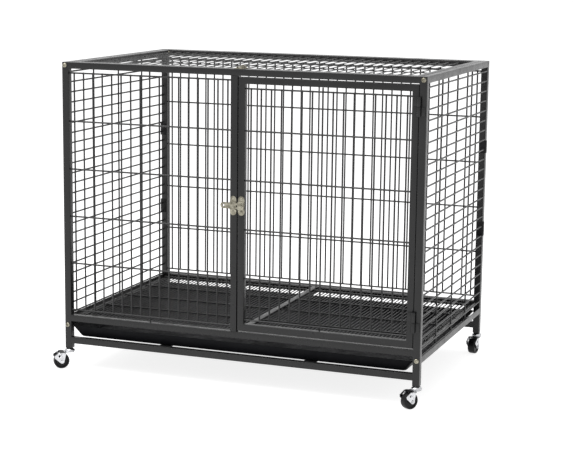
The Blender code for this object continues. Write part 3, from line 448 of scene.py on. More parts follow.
def finish_of(name, skin, values, roughness, metallic, bump, ior):
    """A material round one of the shared skins."""
    if name in bpy.data.materials:
        return bpy.data.materials[name]
    material = bpy.data.materials.new(name)
    material.use_nodes = True
    tree = material.node_tree
    place = node(tree, "ShaderNodeTexCoord").outputs["Object"]
    values = {"Vector": place, "Low roughness": roughness[0], "High roughness": roughness[1], **values}
    made = node(tree, "ShaderNodeGroup", values, node_tree=skin).outputs
    relief = {"Strength": bump, "Distance": 0.0002, "Height": made["Height"]}
    normal = node(tree, "ShaderNodeBump", relief).outputs["Normal"]
    looks = {"Base Color": made["Colour"], "Roughness": made["Roughness"], "Normal": normal}
    fill(tree, tree.nodes["Principled BSDF"], looks | {"Metallic": metallic, "IOR": ior})
    return material


def coat(name, colour, shades, roughness, pebble, bump, ior):
    """A painted or moulded finish: the colour between two shades and the roughness between two values."""
    dark, light = ((*(channel * share for channel in colour), 1.0) for share in shades)
    values = {"Colour": dark, "Cloud colour": light, "Pebble scale": pebble}
    return finish_of(name, shared("Cloudy coat", cloudy_coat), values, roughness, 0.0, bump, ior)


def plating(name, colour, tarnish, roughness, bump):
    """A plated finish with patches of tarnish."""
    values = {"Colour": (*colour, 1.0), "Tarnish": (*tarnish, 1.0)}
    return finish_of(name, shared("Drawn metal", drawn_metal), values, roughness, 1.0, bump, 1.5)


def tube_paint():
    gloss = finishes().tube_gloss
    roughness = (gloss - 0.05, gloss + 0.08)
    return coat("Tube paint", finishes().tube_colour, (0.9, 1.25), roughness, 750.0, 0.35, 1.40)


def wire_paint():
    return coat("Wire paint", finishes().wire_colour, (0.85, 1.3), (0.30, 0.45), 1100.0, 0.25, 1.40)


def tray_skin():
    return coat("Tray skin", finishes().tray_colour, (0.8, 1.5), (0.38, 0.56), 420.0, 0.5, 1.16)


def wheel_black():
    return coat("Wheel black", finishes().wheel_colour, (0.8, 1.6), (0.34, 0.50), 1300.0, 0.3, 1.30)


def warm_nickel():
    return plating("Warm nickel", finishes().nickel_colour, (0.13, 0.12, 0.09), (0.20, 0.36), 0.12)


def bright_chrome():
    return plating("Bright chrome", finishes().chrome_colour, (0.45, 0.45, 0.46), (0.07, 0.16), 0.04)


FINISH_IN_SLOT = {
    "frame_paint": tube_paint,
    "wire_paint": wire_paint,
    "tray_black": tray_skin,
    "wheel_black": wheel_black,
    "nickel": warm_nickel,
    "castor_chrome": bright_chrome,
}


def settle(piece, body, slot, *nodes):
    """Finishes a piece: smooth sides, its material, its body and the frame's nodes that it stands for."""
    pick_only(piece)
    bpy.ops.object.shade_smooth_by_angle(angle=SMOOTH_BELOW)
    piece.data.materials.clear()
    piece.data.materials.append(FINISH_IN_SLOT[slot]())
    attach(piece, body)
    if nodes:
        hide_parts(*nodes)


# Frame


def tube(node_name, low, high):
    """A square tube with rounded edges along it."""
    size = high - low
    long_axis = "XYZ"[max(range(3), key=lambda axis: size[axis])]
    piece = block(f"{node_name}_tube", low, high)
    round_off(piece, lambda edge: runs_along(edge, long_axis), sizes().tube_rounding, 3)
    settle(piece, "frame", "frame_paint", node_name)


def angle_bar(node_name, outward):
    """An angle from front to back: a web on the crate's outer side and a foot that runs inwards below."""
    low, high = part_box(node_name)
    web_low, web_high = low.copy(), high.copy()
    if outward < 0:
        web_high.x = inner = low.x + ANGLE_SHEET
    else:
        web_low.x = inner = high.x - ANGLE_SHEET
    piece = block(f"{node_name}_angle", web_low, web_high)
    level = low.z + ANGLE_SHEET
    pick_all(piece)
    bpy.ops.mesh.bisect(plane_co=(0.0, 0.0, level), plane_no=(0.0, 0.0, 1.0))
    leave()

    def foot_edge(face):
        middle = face.calc_center_median()
        return middle.z < level and abs(middle.x - inner) < 0.0001

    pick_in(piece, "FACE", foot_edge)
    reach = (high.x - low.x) - ANGLE_SHEET
    bpy.ops.mesh.extrude_region_move(TRANSFORM_OT_translate={"value": (-outward * reach, 0.0, 0.0)})
    leave()
    round_off(piece, lambda edge: runs_along(edge, "Y") and every_edge(edge), EASE)
    settle(piece, "frame", "frame_paint", node_name)


class CRATE_OT_frame(bpy.types.Operator):
    """Posts, beams and rails of square tube, the angles along the sides and the clips"""

    bl_idname = "crate.frame"
    bl_label = "Frame tubes"

    # Heights of the lower and the upper clip over the post's foot
    clip_heights = ((0.266, 0.304), (0.488, 0.521))
    # Reach from the stem, outwards and to the back: of the leaf on the post's side and of that on its front
    clip_leaves = (((0.0075, 0.0106), (-0.0100, 0.001)), ((-0.0062, 0.0106), (-0.0105, -0.0076)))

    def execute(self, context):
        for corner in CORNERS:
            self.post(corner)
        names = ["front_middle_post", "left_top_rail", "right_top_rail"]
        levels = ("top", "floor", "lower")
        names += [f"{side}_{level}_beam" for side in ("front", "back") for level in levels]
        for name in names:
            tube(name, *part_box(name))
        for side, outward in SIDES:
            angle_bar(f"{side}_bottom_rail", outward)
        for side, outward in SIDES:
            self.clips(f"back_{side}", outward)
        return {"FINISHED"}

    def post(self, corner):
        stem = stem_of(corner)
        half = Vector((TUBE / 2, TUBE / 2, 0.0))
        low = stem - half
        high = Vector((stem.x, stem.y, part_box("front_top_beam")[1].z)) + half
        for axis in (0, 1):
            inner = low if stem[axis] > 0 else high
            inner[axis] -= math.copysign(POST_EXTRA, stem[axis])
        tube(f"{corner}_post", low, high)

    def clips(self, corner, outward):
        """The small plates that wrap a rear post's outer front corner."""
        stem = stem_of(corner)
        for index, (foot, head) in enumerate(self.clip_heights):
            name = f"{corner}_clip_{index}"
            leaves = []
            for reach, depth in self.clip_leaves:
                x_low, x_high = sorted(stem.x + outward * share for share in reach)
                low = (x_low, stem.y + depth[0], stem.z + foot)
                high = (x_high, stem.y + depth[1], stem.z + head)
                leaves.append(round_off(block(name, low, high), every_edge, 0.0006))
            settle(join(name, leaves), "frame", "wheel_black")


class CRATE_OT_corner_bolts(bpy.types.Operator):
    """Pan-headed bolts with a hexagon socket at the ends of the side rails"""

    bl_idname = "crate.corner_bolts"
    bl_label = "Corner bolts"

    head = ((0.0061, 0.0), (0.0061, 0.0012), (0.0057, 0.0025), (0.0048, 0.0034), (0.0036, 0.0039))
    socket_radius = 0.0026
    socket_floor = 0.0016
    socket_mouth = 0.0060

    def execute(self, context):
        master = turned("corner_bolt", self.head, 24)
        floor, mouth = ((0.0, 0.0, level) for level in (self.socket_floor, self.socket_mouth))
        cut(master, rod("socket", floor, mouth, self.socket_radius, 6))
        levels = (("upper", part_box("front_top_beam")), ("lower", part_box("left_bottom_rail")))
        for corner in CORNERS:
            outward = -1.0 if corner.startswith("front") else 1.0
            lean = Matrix.Rotation(QUARTER_TURN * -outward, 4, "X")
            stem = stem_of(corner)
            for label, (low, high) in levels:
                place = Vector((stem.x, stem.y + outward * TUBE / 2, (low.z + high.z) / 2))
                piece = copy_of(master, f"{corner}_{label}_bolt")
                set_down(piece, Matrix.Translation(place) @ lean)
                settle(piece, "frame", "nickel")
        discard(master)
        return {"FINISHED"}


# Wire mats


def wires(name, along, spread, thin, places, reach, depth, radius):
    """Parallel round wires, one at each place on the spread axis, as one mesh."""
    start, end = (on_axes((spread, places[0]), (thin, depth), (along, stop)) for stop in reach)
    first = rod(name, start, end, radius, sizes().wire_sides)
    round_off(first, lambda edge: not runs_along(edge, along), radius * 0.3, 1)
    shifts = [on_axes((spread, place - places[0])) for place in places[1:]]
    return join(name, [first] + [copy_of(first, name, shift) for shift in shifts])


def welds(name, thin, depth, first_axis, first_places, second_axis, second_places):
    """A flattened bead at each crossing."""
    flat = Vector((1.0, 1.0, 1.0))
    flat["XYZ".index(thin)] = 0.62
    deselect()
    bpy.ops.mesh.primitive_uv_sphere_add(
        segments=8,
        ring_count=4,
        radius=sizes().weld_radius,
        location=on_axes((thin, depth), (first_axis, first_places[0]), (second_axis, second_places[0])),
        scale=flat,
    )
    bead = set_down(named(name))
    repeat(bead, len(first_places), on_axes((first_axis, first_places[1] - first_places[0])))
    shifts = [on_axes((second_axis, place - second_places[0])) for place in second_places[1:]]
    return join(name, [bead] + [copy_of(bead, name, shift) for shift in shifts])


def finish_mat(node_name, parts, body):
    settle(join(f"{node_name}_wires", parts), body, "wire_paint", node_name)


def upright_mat(name, body, count, rows):
    """Upright bars behind level rows: the middle bar reaches both beams, the others the end rows."""
    low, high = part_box(name)
    half = CAD_WIRE / 2
    row_y, bar_y = low.y + half, high.y - half
    radius = sizes().wire_radius
    places = places_between(low.x - SEAM, high.x + SEAM, count)
    longest = (count - 1) // 2
    short = places[:longest] + places[longest + 1 :]
    reach = (rows[0] - half, rows[-1] + half)
    parts = [
        wires(name, "Z", "X", "Y", short, reach, bar_y, radius),
        wires(name, "Z", "X", "Y", places[longest : longest + 1], (low.z, high.z), bar_y, radius),
        wires(name, "X", "Z", "Y", rows, (low.x, high.x), row_y, radius),
        welds(name, "Y", (bar_y + row_y) / 2, "X", places, "Z", rows),
    ]
    finish_mat(name, parts, body)


def level_rows():
    """Heights of the level wires in the front and the back."""
    low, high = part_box("front_left_mat")
    over_floor_beam, under_top_beam = 0.014, 0.011
    return evenly(low.z - SEAM + over_floor_beam, high.z + SEAM - under_top_beam, 6)


class CRATE_OT_mats(bpy.types.Operator):
    """Welded mats of round wire in the front, the back and the sides"""

    bl_idname = "crate.mats"
    bl_label = "Wire mats"

    side_uprights = 3
    # From the lower and the upper rail to the nearest level wire of a side
    row_over_rail, row_under_rail = 0.0178, 0.0102

    def execute(self, context):
        upright_mat("front_left_mat", "frame", sizes().bar_count_front, level_rows())
        upright_mat("back_mat", "frame", sizes().bar_count_back, level_rows())
        for side, outward in SIDES:
            self.side_mat(f"{side}_mat", outward)
        return {"FINISHED"}

    def side_mat(self, name, outward):
        low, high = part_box(name)
        half = CAD_WIRE / 2
        outer, inner = (low.x + half, high.x - half) if outward < 0 else (high.x - half, low.x + half)
        radius = sizes().wire_radius
        lowest, highest = low.z - SEAM + self.row_over_rail, high.z + SEAM - self.row_under_rail
        rows = evenly(lowest, highest, sizes().row_count_side)
        step = (high.y - low.y + 2 * SEAM) / (self.side_uprights + 1)
        uprights = [low.y - SEAM + step * (index + 1) for index in range(self.side_uprights)]
        parts = [
            wires(name, "Y", "Z", "X", rows, (low.y, high.y), outer, radius),
            wires(name, "Z", "Y", "X", uprights, (low.z, high.z), inner, radius),
            welds(name, "X", (outer + inner) / 2, "Z", rows, "Y", uprights),
        ]
        finish_mat(name, parts, "frame")


# Door and lid


def ring(panel, low, high, thin):
    """A mitred frame of square tube: a slab with a hole bridged through it and its edges rounded."""
    piece = block(f"{panel}_frame_tube", low, high)
    axis = "XYZ".index(thin)
    pick_in(piece, "FACE", lambda face: abs(face.normal[axis]) > 0.99)
    bpy.ops.mesh.inset(thickness=TUBE, depth=0.0, use_boundary=True)
    bpy.ops.mesh.bridge_edge_loops()
    leave()
    face_out(piece)
    rounding = sizes().tube_rounding
    round_off(piece, lambda edge: runs_along(edge, "XYZ") and every_edge(edge), rounding, 3)
    settle(piece, panel, "frame_paint", f"{panel}_frame")


class CRATE_OT_door(bpy.types.Operator):
    """Door frame and its wire mat"""

    bl_idname = "crate.door"
    bl_label = "Door"

    rise = 0.0008  # how far the door's top bar is raised towards the top beam
    end_row = 0.0107  # from the door's upper and lower bar to the nearest level wire

    def execute(self, context):
        low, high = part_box("door_frame")
        ring("door", low, high + Vector((0.0, 0.0, self.rise)), "Y")
        rows = level_rows()
        rows[0] = low.z + TUBE + self.end_row
        rows[-1] = high.z - TUBE - self.end_row
        upright_mat("door_mat", "door", sizes().bar_count_door, rows)
        return {"FINISHED"}


class CRATE_OT_lid(bpy.types.Operator):
    """Lid frame, its wire mat and its two pivot pins"""

    bl_idname = "crate.lid"
    bl_label = "Lid"

    row_count = 4
    end_row = 0.034  # from the lid's front and back bar to the nearest cross wire

    def execute(self, context):
        ring("lid", *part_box("lid_frame"), "Z")
        low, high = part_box("lid_mat")
        half = CAD_WIRE / 2
        bar_z, row_z = high.z - half, low.z + half
        radius = sizes().lid_wire_radius
        bars = places_between(low.x - SEAM, high.x + SEAM, sizes().bar_count_lid)
        rows = evenly(low.y - SEAM + self.end_row, high.y + SEAM - self.end_row, self.row_count)
        parts = [
            wires("lid_mat", "Y", "X", "Z", bars, (low.y, high.y), bar_z, radius),
            wires("lid_mat", "X", "Y", "Z", rows, (low.x, high.x), row_z, radius),
            welds("lid_mat", "Z", (bar_z + row_z) / 2, "X", bars, "Y", rows),
        ]
        finish_mat("lid_mat", parts, "lid")
        for side, outward in SIDES:
            self.pivot(f"lid_{side}_pivot", -outward)
        return {"FINISHED"}

    def pivot(self, name, inward):
        """A pin with a domed head inside the lid's side bar."""
        low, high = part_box(name)
        tail, tip = (low.x, high.x) if inward > 0 else (high.x, low.x)
        length = abs(tip - tail)
        shank, head = 0.0030, 0.0054
        rings = [(0.0028, 0.0), (shank, 0.0004), (shank, length - 0.0030), (head, length - 0.0029)]
        rings += [(head, length - 0.0014), (0.0040, length - 0.0003), (0.0015, length)]
        piece = turned(f"{name}_pin", rings, 24)
        middle = (low + high) / 2
        place = Matrix.Translation((tail, middle.y, middle.z))
        set_down(piece, place @ Matrix.Rotation(QUARTER_TURN * inward, 4, "Y"))
        settle(piece, "frame", "nickel", name)


# Floor and tray


class CRATE_OT_floor(bpy.types.Operator):
    """Bearers with their ledges, and the two close grates that lie on them"""

    bl_idname = "crate.floor"
    bl_label = "Floor"

    ledge_width = 0.006
    ledge_drop = 0.008  # from the centre bearer's top to its ledges
    ledge_sheet = 0.002
    cross_wires = (-0.268, -0.139, -0.010, 0.118, 0.247)  # from a grate's middle
    notch = (-0.012, 0.024)  # ends of the finger notch, from a grate's middle
    notch_depth = 2  # in close wires
    end_wire_inset = (0.005, 0.003)
    sink = 0.0006  # how far the close wires are pressed into the cross wires

    def execute(self, context):
        self.centre_bearer("centre_bearer")
        for side, outward in SIDES:
            angle_bar(f"{side}_bearer", outward)
        self.grate("left_grate", "left_floor_grate", False)
        self.grate("right_grate", "right_floor_grate", True)
        return {"FINISHED"}

    def centre_bearer(self, name):
        low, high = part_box(name)
        ledge = self.ledge_width
        top = high.z - self.ledge_drop
        inside, end_gap = 0.001, 0.0015
        core = block(f"{name}_tube", (low.x + ledge, low.y, low.z), (high.x - ledge, high.y, high.z))
        round_off(core, lambda edge: runs_along(edge, "Y"), sizes().tube_rounding, 3)
        parts = [core]
        for x in (low.x, high.x - ledge - inside):
            strip_low = (x, low.y + end_gap, top - self.ledge_sheet)
            strip = block(f"{name}_ledge", strip_low, (x + ledge + inside, high.y - end_gap, top))
            parts.append(round_off(strip, lambda edge: runs_along(edge, "Y"), EASE))
        settle(join(f"{name}_tube", parts), "frame", "frame_paint", name)

    def grate(self, name, body, notched):
        low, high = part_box(name)
        half = CAD_WIRE / 2
        radius = sizes().grate_wire_radius
        row_z = high.z - half
        bar_z = row_z - half - radius + self.sink
        first, last = low.x + half, high.x - half
        bars = evenly(first, last, round((last - first) / sizes().grate_pitch) + 1)
        middle = (low.y + high.y) / 2
        rows = [middle + shift for shift in self.cross_wires]
        inset_x, inset_y = self.end_wire_inset

        def close(places, reach):
            return wires(name, "Y", "X", "Z", places, reach, bar_z, radius)

        def cross(places, reach):
            return wires(name, "X", "Y", "Z", places, reach, row_z, half)

        parts = []
        if notched:
            notch = [middle + shift for shift in self.notch]
            for x in bars[: self.notch_depth]:
                parts += [close([x], (low.y, notch[0])), close([x], (notch[1], high.y))]
            bars = bars[self.notch_depth :]
            parts.append(self.notch_wire(name, low.x, bars[0] - 0.001, notch, row_z))
            parts.append(cross(rows[2:3], (bars[0] - 0.003, high.x)))
            rows = rows[:2] + rows[3:]
        parts += [
            close(bars, (low.y, high.y)),
            cross(rows, (low.x, high.x)),
            cross([low.y + inset_y, high.y - inset_y], (low.x + inset_x, high.x - inset_x)),
        ]
        finish_mat(name, parts, body)

    def notch_wire(self, name, x_low, x_high, notch, z):
        """The bent wire round the finger notch: the half of an oval that lies inside the grate."""
        middle = Vector((x_low + 0.002, sum(notch) / 2, z))
        deselect()
        bpy.ops.curve.primitive_bezier_circle_add(radius=1.0, location=middle)
        bend = bpy.context.object
        bend.scale = (x_high - middle.x, (notch[1] - notch[0]) / 2, 1.0)
        set_down(bend)
        bend.data.bevel_depth = CAD_WIRE / 2
        bend.data.bevel_resolution = 3
        bpy.ops.object.convert(target="MESH")
        pick_all(bpy.context.object)
        bpy.ops.mesh.bisect(plane_co=middle, plane_no=(-1.0, 0.0, 0.0), use_fill=True, clear_outer=True)
        leave()
        return set_down(named(name))


class CRATE_OT_tray(bpy.types.Operator):
    """Slide-out tray with flared sides, and the two flat strips that it runs on"""

    bl_idname = "crate.tray"
    bl_label = "Tray"

    sheet = 0.001
    flare = (0.042, 0.018)  # how much narrower and shorter the bottom is than the rim
    bottom_rounding = 0.003

    def execute(self, context):
        self.pan()
        for side, _ in SIDES:
            name = f"{side}_tray_slat"
            strip = block(f"{name}_strip", *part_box(name))
            round_off(strip, lambda edge: runs_along(edge, "Y"), FINE_EASE)
            settle(strip, "frame", "frame_paint", name)
        return {"FINISHED"}

    def pan(self):
        low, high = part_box("tray")
        piece = block("tray_pan", low, high)
        pick_in(piece, "FACE", lambda face: face.normal.z < -0.9)
        middle = (low + high) / 2
        share = (1 - self.flare[0] / (high.x - low.x), 1 - self.flare[1] / (high.y - low.y), 1.0)
        bpy.ops.transform.resize(value=share, center_override=(middle.x, middle.y, low.z))
        leave()

        def rises(edge):
            return abs(edge.verts[0].co.z - edge.verts[1].co.z) > 0.01

        def lies_below(edge):
            return max(vert.co.z for vert in edge.verts) < low.z + 0.0001

        round_off(piece, rises, sizes().tray_corner, 5)
        round_off(piece, lies_below, self.bottom_rounding, 3)
        pick_in(piece, "FACE", lambda face: face.normal.z > 0.9 and face.calc_center_median().z > middle.z)
        bpy.ops.mesh.inset(thickness=0.0001, depth=0.0)
        bpy.ops.mesh.delete(type="FACE")
        leave()
        apply_new(piece, "SOLIDIFY", thickness=self.sheet, offset=-1.0, use_even_offset=True)
        settle(piece, "dirt_tray", "tray_black", "tray")


# Hinges and slide bolts


class CRATE_OT_hinges(bpy.types.Operator):
    """Weld-on barrel hinges of the door"""

    bl_idname = "crate.hinges"
    bl_label = "Door hinges"

    radius = 0.0048
    tab_reach = 0.010
    tab_sheet = 0.002
    tab_inset = 0.0008

    def execute(self, context):
        for level in ("lower", "upper"):
            door_half = f"{level}_hinge_door_half"
            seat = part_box(door_half)[0].z - SEAM
            self.half(f"{level}_hinge_post_half", "frame", 1.0, seat)
            self.half(door_half, "door", -1.0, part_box(door_half)[1].z)
        return {"FINISHED"}

    def half(self, name, body, side, top):
        """A barrel with a welded tab: the post's half reaches up to the door's half."""
        low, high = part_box(name)
        radius = self.radius
        x = low.x + radius if side > 0 else high.x - radius
        height = top - low.z
        steps = ((0.0040, 0.0), (0.0046, 0.0003), (radius, 0.0009))
        rings = [*steps, *((wide, height - rise) for wide, rise in reversed(steps))]
        barrel = turned(f"{name}_barrel", rings, 28)
        set_down(barrel, Matrix.Translation((x, low.y + radius, low.z)))
        x_low, x_high = sorted((x + side * radius * 0.5, x + side * (radius + self.tab_reach)))
        tab_low = (x_low, high.y - self.tab_sheet, low.z + self.tab_inset)
        tab = block(f"{name}_tab", tab_low, (x_high, high.y, top - self.tab_inset))
        round_off(tab, every_edge, 0.0006)
        settle(join(f"{name}_barrel", [barrel, tab]), body, "frame_paint", name)


class CRATE_OT_slide_bolts(bpy.types.Operator):
    """The door's and the lid's slide bolts, each with a guide and a keeper"""

    bl_idname = "crate.slide_bolts"
    bl_label = "Slide bolts"

    sheet = 0.0016  # plates and straps
    wall = 0.002
    # Plates: radius and spread of their lobes, and the places of guide and keeper along the bolt.
    # Bolt: width, thickness, reach to the eye's end, tail, and the eye's radius. Boss: its radius.
    # Centre: the latch's own centre, from the low end of the frame's bolt.
    door_bolt = {
        "centre": 0.0435,
        "radius": 0.0084, "spread": 0.0152, "guide": 0.0107, "keeper": -0.0104, "boss": 0.005,
        "width": 0.0150, "thickness": 0.003, "reach": 0.0425, "tail": 0.0145, "eye": 0.0028,
    }
    lid_bolt = {
        "centre": 0.0155,
        "radius": 0.006, "spread": 0.0085, "guide": 0.009, "keeper": -0.009, "boss": 0.0032,
        "width": 0.010, "thickness": 0.0025, "reach": 0.0155, "tail": 0.0175, "eye": 0.0018,
    }

    def execute(self, context):
        door_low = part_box("door_frame")[0]
        low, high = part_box("door_latch_bolt")
        on_front = Matrix(((1, 0, 0, 0), (0, 0, -1, 0), (0, 1, 0, 0), (0, 0, 0, 1)))
        place = Matrix.Translation((low.x + self.door_bolt["centre"], door_low.y, (low.z + high.z) / 2))
        self.latch("door", place @ on_front, self.door_bolt)
        lid_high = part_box("lid_frame")[1]
        low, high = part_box("lid_latch_bolt")
        on_roof = Matrix(((0, -1, 0, 0), (1, 0, 0, 0), (0, 0, 1, 0), (0, 0, 0, 1)))
        y = low.y + self.lid_bolt["centre"]
        place = Matrix.Translation(((low.x + high.x) / 2, y, lid_high.z))
        self.latch("lid", place @ on_roof, self.lid_bolt)
        return {"FINISHED"}

    def latch(self, panel, place, size):
        """A latch in its own frame: X along the bolt towards the guide, Y across it, Z out."""
        low = 2 * SEAM + self.sheet
        high = low + size["thickness"]
        for kind, body, top in (("guide", panel, high + SEAM), ("keeper", "frame", high)):
            name = f"{panel}_latch_{kind}"
            parts = self.channel(name, size[kind], top, size)
            if kind == "guide":
                parts += self.strap(name, size[kind], top, size)
            settle(set_down(join(f"{name}_plate", parts), place), body, "nickel", name)
        name = f"{panel}_latch_bolt"
        bar = self.bar(f"{name}_bar", low, high, size)
        settle(set_down(bar, place), f"{panel}_bolt", "nickel", name)

    def channel(self, name, x, top, size):
        """A riveted plate with a wall on each side of the bolt."""
        near = size["width"] / 2 + SEAM
        reach = size["radius"] - SEAM
        parts = [self.plate(name, x, size)]
        for sign in (-1.0, 1.0):
            y_low, y_high = sorted((sign * near, sign * (near + self.wall)))
            low = (x - reach, y_low, SEAM + self.sheet / 2)
            wall = block(name, low, (x + reach, y_high, top + self.sheet / 2))
            round_off(wall, every_edge, EASE)
            parts += [wall, self.rivet(name, x, sign * size["spread"], size["radius"] * 0.42)]
        return parts

    def strap(self, name, x, top, size):
        """A strap over the bolt with a round boss on it."""
        side = size["width"] / 2 + SEAM + self.wall
        reach = size["radius"] - SEAM
        strap = block(name, (x - reach, -side, top), (x + reach, side, top + self.sheet))
        round_off(strap, lambda edge: runs_along(edge, "X"), 0.0008, 3)
        outline = ((1.0, 0.0), (1.0, 0.7), (0.92, 1.2), (0.6, 1.5))
        boss = turned(name, [(size["boss"] * wide, self.sheet * rise) for wide, rise in outline], 24)
        return [strap, set_down(boss, Matrix.Translation((x, 0.0, top + self.sheet)))]

    def plate(self, name, x, size):
        """A plate with round ends."""
        lobes = []
        for y in (-size["spread"], size["spread"]):
            lobes.append(rod(name, (x, y, SEAM), (x, y, SEAM + self.sheet), size["radius"], 32))
        return round_off(hull(name, lobes), every_edge, FINE_EASE)

    def rivet(self, name, x, y, wide):
        """A domed rivet in a plate's lobe."""
        rings = ((wide, 0.0), (wide, 0.0003), (wide * 0.8, 0.0009), (wide * 0.35, 0.0012))
        return set_down(turned(name, rings, 20), Matrix.Translation((x, y, SEAM + self.sheet)))

    def bar(self, name, low, high, size):
        """The flat bolt: a round end with its eye, a straight tail and a small hole between them."""
        half = size["width"] / 2
        eye = half - size["reach"]
        overrun = 0.002
        round_end = rod(name, (eye, 0.0, low), (eye, 0.0, high), half, 32)
        tail = block(name, (size["tail"] - 0.004, -half, low), (size["tail"], half, high))
        bar = hull(name, [round_end, tail])
        for x, radius in ((eye, size["eye"]), (0.0, size["eye"] * 0.7)):
            cut(bar, rod("hole", (x, 0.0, low - overrun), (x, 0.0, high + overrun), radius, 24))
        return round_off(bar, every_edge, FINE_EASE)


# Castors


def across(name, centre, ends, radius, sides):
    """A rod from side to side through a centre."""
    return rod(name, *((centre.x, y, centre.z) for y in ends), radius, sides)


class CRATE_OT_castors(bpy.types.Operator):
    """Swivel castors: collar, chrome dome, fork, wheel with its axle, and brake lever"""

    bl_idname = "crate.castors"
    bl_label = "Castors"

    cheek_sheet = 0.002
    cheek_gap = 0.001  # from the wheel to each cheek
    fork_back = -0.0255
    arm_sheet = 0.0012
    arm_gap = 0.0033  # from the wheel to each brake arm
    pedal_heights = (0.0026, 0.0044)  # the pedal's under and upper side over the tread
    pedal_start = math.radians(103.5)
    pedal_arc = math.radians(41.0)

    # Each piece is made by the function of its name: its body, its slot and the nodes that it stands for
    pieces = (
        ("dome", "frame", "castor_chrome", ["{}_castor_housing"]),
        ("collar", "frame", "wheel_black", []),
        ("fork", "{}_castor", "castor_chrome", ["{}_castor_fork"]),
        ("wheel", "{}_castor_wheel", "wheel_black", ["{}_wheel"]),
        ("pedal", "{}_castor_brake", "wheel_black", ["{}_brake"]),
        ("brake_arms", "{}_castor_brake", "castor_chrome", []),
    )

    def execute(self, context):
        masters = [getattr(self, kind)() for kind, *_ in self.pieces]
        for corner in CORNERS:
            stem = stem_of(corner)
            turn = Matrix.Rotation(getattr(sizes(), f"turn_{corner}"), 4, "Z")
            place = Matrix.Translation((stem.x, stem.y, 0.0)) @ turn
            for master, (kind, body, slot, nodes) in zip(masters, self.pieces):
                piece = set_down(copy_of(master, f"{corner}_castor_{kind}_piece"), place)
                settle(piece, body.format(corner), slot, *(name.format(corner) for name in nodes))
        discard(*masters)
        return {"FINISHED"}

    def levels(self):
        """The underside of the swivel's dome and the post's foot."""
        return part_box("front_left_castor_housing")[0].z, stem_of("front_left").z

    def axle(self):
        return Vector((-sizes().castor_trail, 0.0, sizes().wheel_radius))

    def dome(self):
        under, foot = self.levels()
        rise = foot - under
        skirt = ((0.0095, 0.0), (0.0130, 0.0002), (0.0135, 0.0009), (0.0135, 0.0022))
        crown = ((0.0129, 0.45), (0.0112, 0.62), (0.0088, 0.74), (0.0070, 0.80))
        rings = [(radius, under + height) for radius, height in skirt]
        rings += [(radius, under + rise * share) for radius, share in crown]
        return turned("castor_dome", rings, 40)

    def collar(self):
        """The moulded collar between dome and post, with its stem in the post."""
        under, foot = self.levels()
        rise = foot - under
        wide, stem = 0.0085, 0.0060
        rings = [(0.0080, under + rise * 0.72), (wide, foot - rise * 0.20), (wide, foot - 0.0008)]
        rings += [(0.0081, foot - SEAM), (stem, foot - SEAM), (stem, foot + 0.020)]
        return turned("castor_collar", rings, 32)

    def fork(self):
        """Two cheeks from the swivel's plate to the axle, with the axle's ends and nuts."""
        top = self.levels()[0] - SEAM
        inner = sizes().wheel_half_width + self.cheek_gap
        outer = inner + self.cheek_sheet
        under = top - self.cheek_sheet
        swivel = rod("fork_swivel", (0.0, 0.0, under), (0.0, 0.0, top), 0.0125, 32)
        back = block("fork_back", (self.fork_back, -outer, under), (-0.0200, outer, top))
        plate = round_off(hull("castor_fork", [swivel, back]), every_edge, EASE)
        kingpin = rod("fork_kingpin", (0.0, 0.0, top - 0.001), (0.0, 0.0, top + 0.006), 0.003, 16)
        parts = [plate, kingpin]
        for sign in (-1.0, 1.0):
            parts.append(self.cheek(sorted((sign * inner, sign * outer)), top))
            parts += self.axle_end(sign, inner, outer)
        return join("castor_fork", parts)

    def cheek(self, faces, top):
        low, high = (self.fork_back, faces[0], top - 0.004), (-0.0110, faces[1], top - 0.0004)
        parts = [across("cheek_boss", self.axle(), faces, 0.006, 28), block("cheek_root", low, high)]
        return round_off(hull("fork_cheek", parts), every_edge, EASE)

    def axle_end(self, sign, inner, outer):
        """The end of the axle and its nut, which sits outside the brake's arm."""
        face = outer + 0.0018
        end = across("axle_end", self.axle(), (sign * inner, sign * (face + 0.0022)), 0.0023, 20)
        nut = across("axle_nut", self.axle(), (sign * face, sign * (face + 0.0016)), 0.0044, 6)
        return [end, round_off(nut, every_edge, FINE_EASE)]

    def wheel(self):
        """A moulded wheel with a rounded tread, a dished side and a hub."""
        radius = sizes().wheel_radius
        half = sizes().wheel_half_width
        hub = ((0.0031, 0.0004), (0.0052, 0.0002), (0.0056, 0.0006), (0.0060, 0.0022))
        dish = ((0.0145, 0.0022), (0.0151, 0.0006), (0.0158, 0.0))
        tread = ((0.0022, 0.0), (0.0010, 0.0006), (0.0003, 0.0020), (0.0, 0.0040))
        side = [(wide, half - depth) for wide, depth in hub + dish]
        side += [(radius - inset, half - depth) for inset, depth in tread]
        rings = side + [(wide, -height) for wide, height in reversed(side)]
        piece = turned("castor_wheel", rings, 48)
        cut(piece, rod("wheel_bore", (0.0, 0.0, -0.02), (0.0, 0.0, 0.02), 0.0029, 24))
        return set_down(piece, Matrix.Translation(self.axle()) @ Matrix.Rotation(QUARTER_TURN, 4, "X"))

    def arm_faces(self):
        """The inner and outer face of a brake arm, from the wheel's middle."""
        inner = sizes().wheel_half_width + self.arm_gap
        return inner, inner + self.arm_sheet

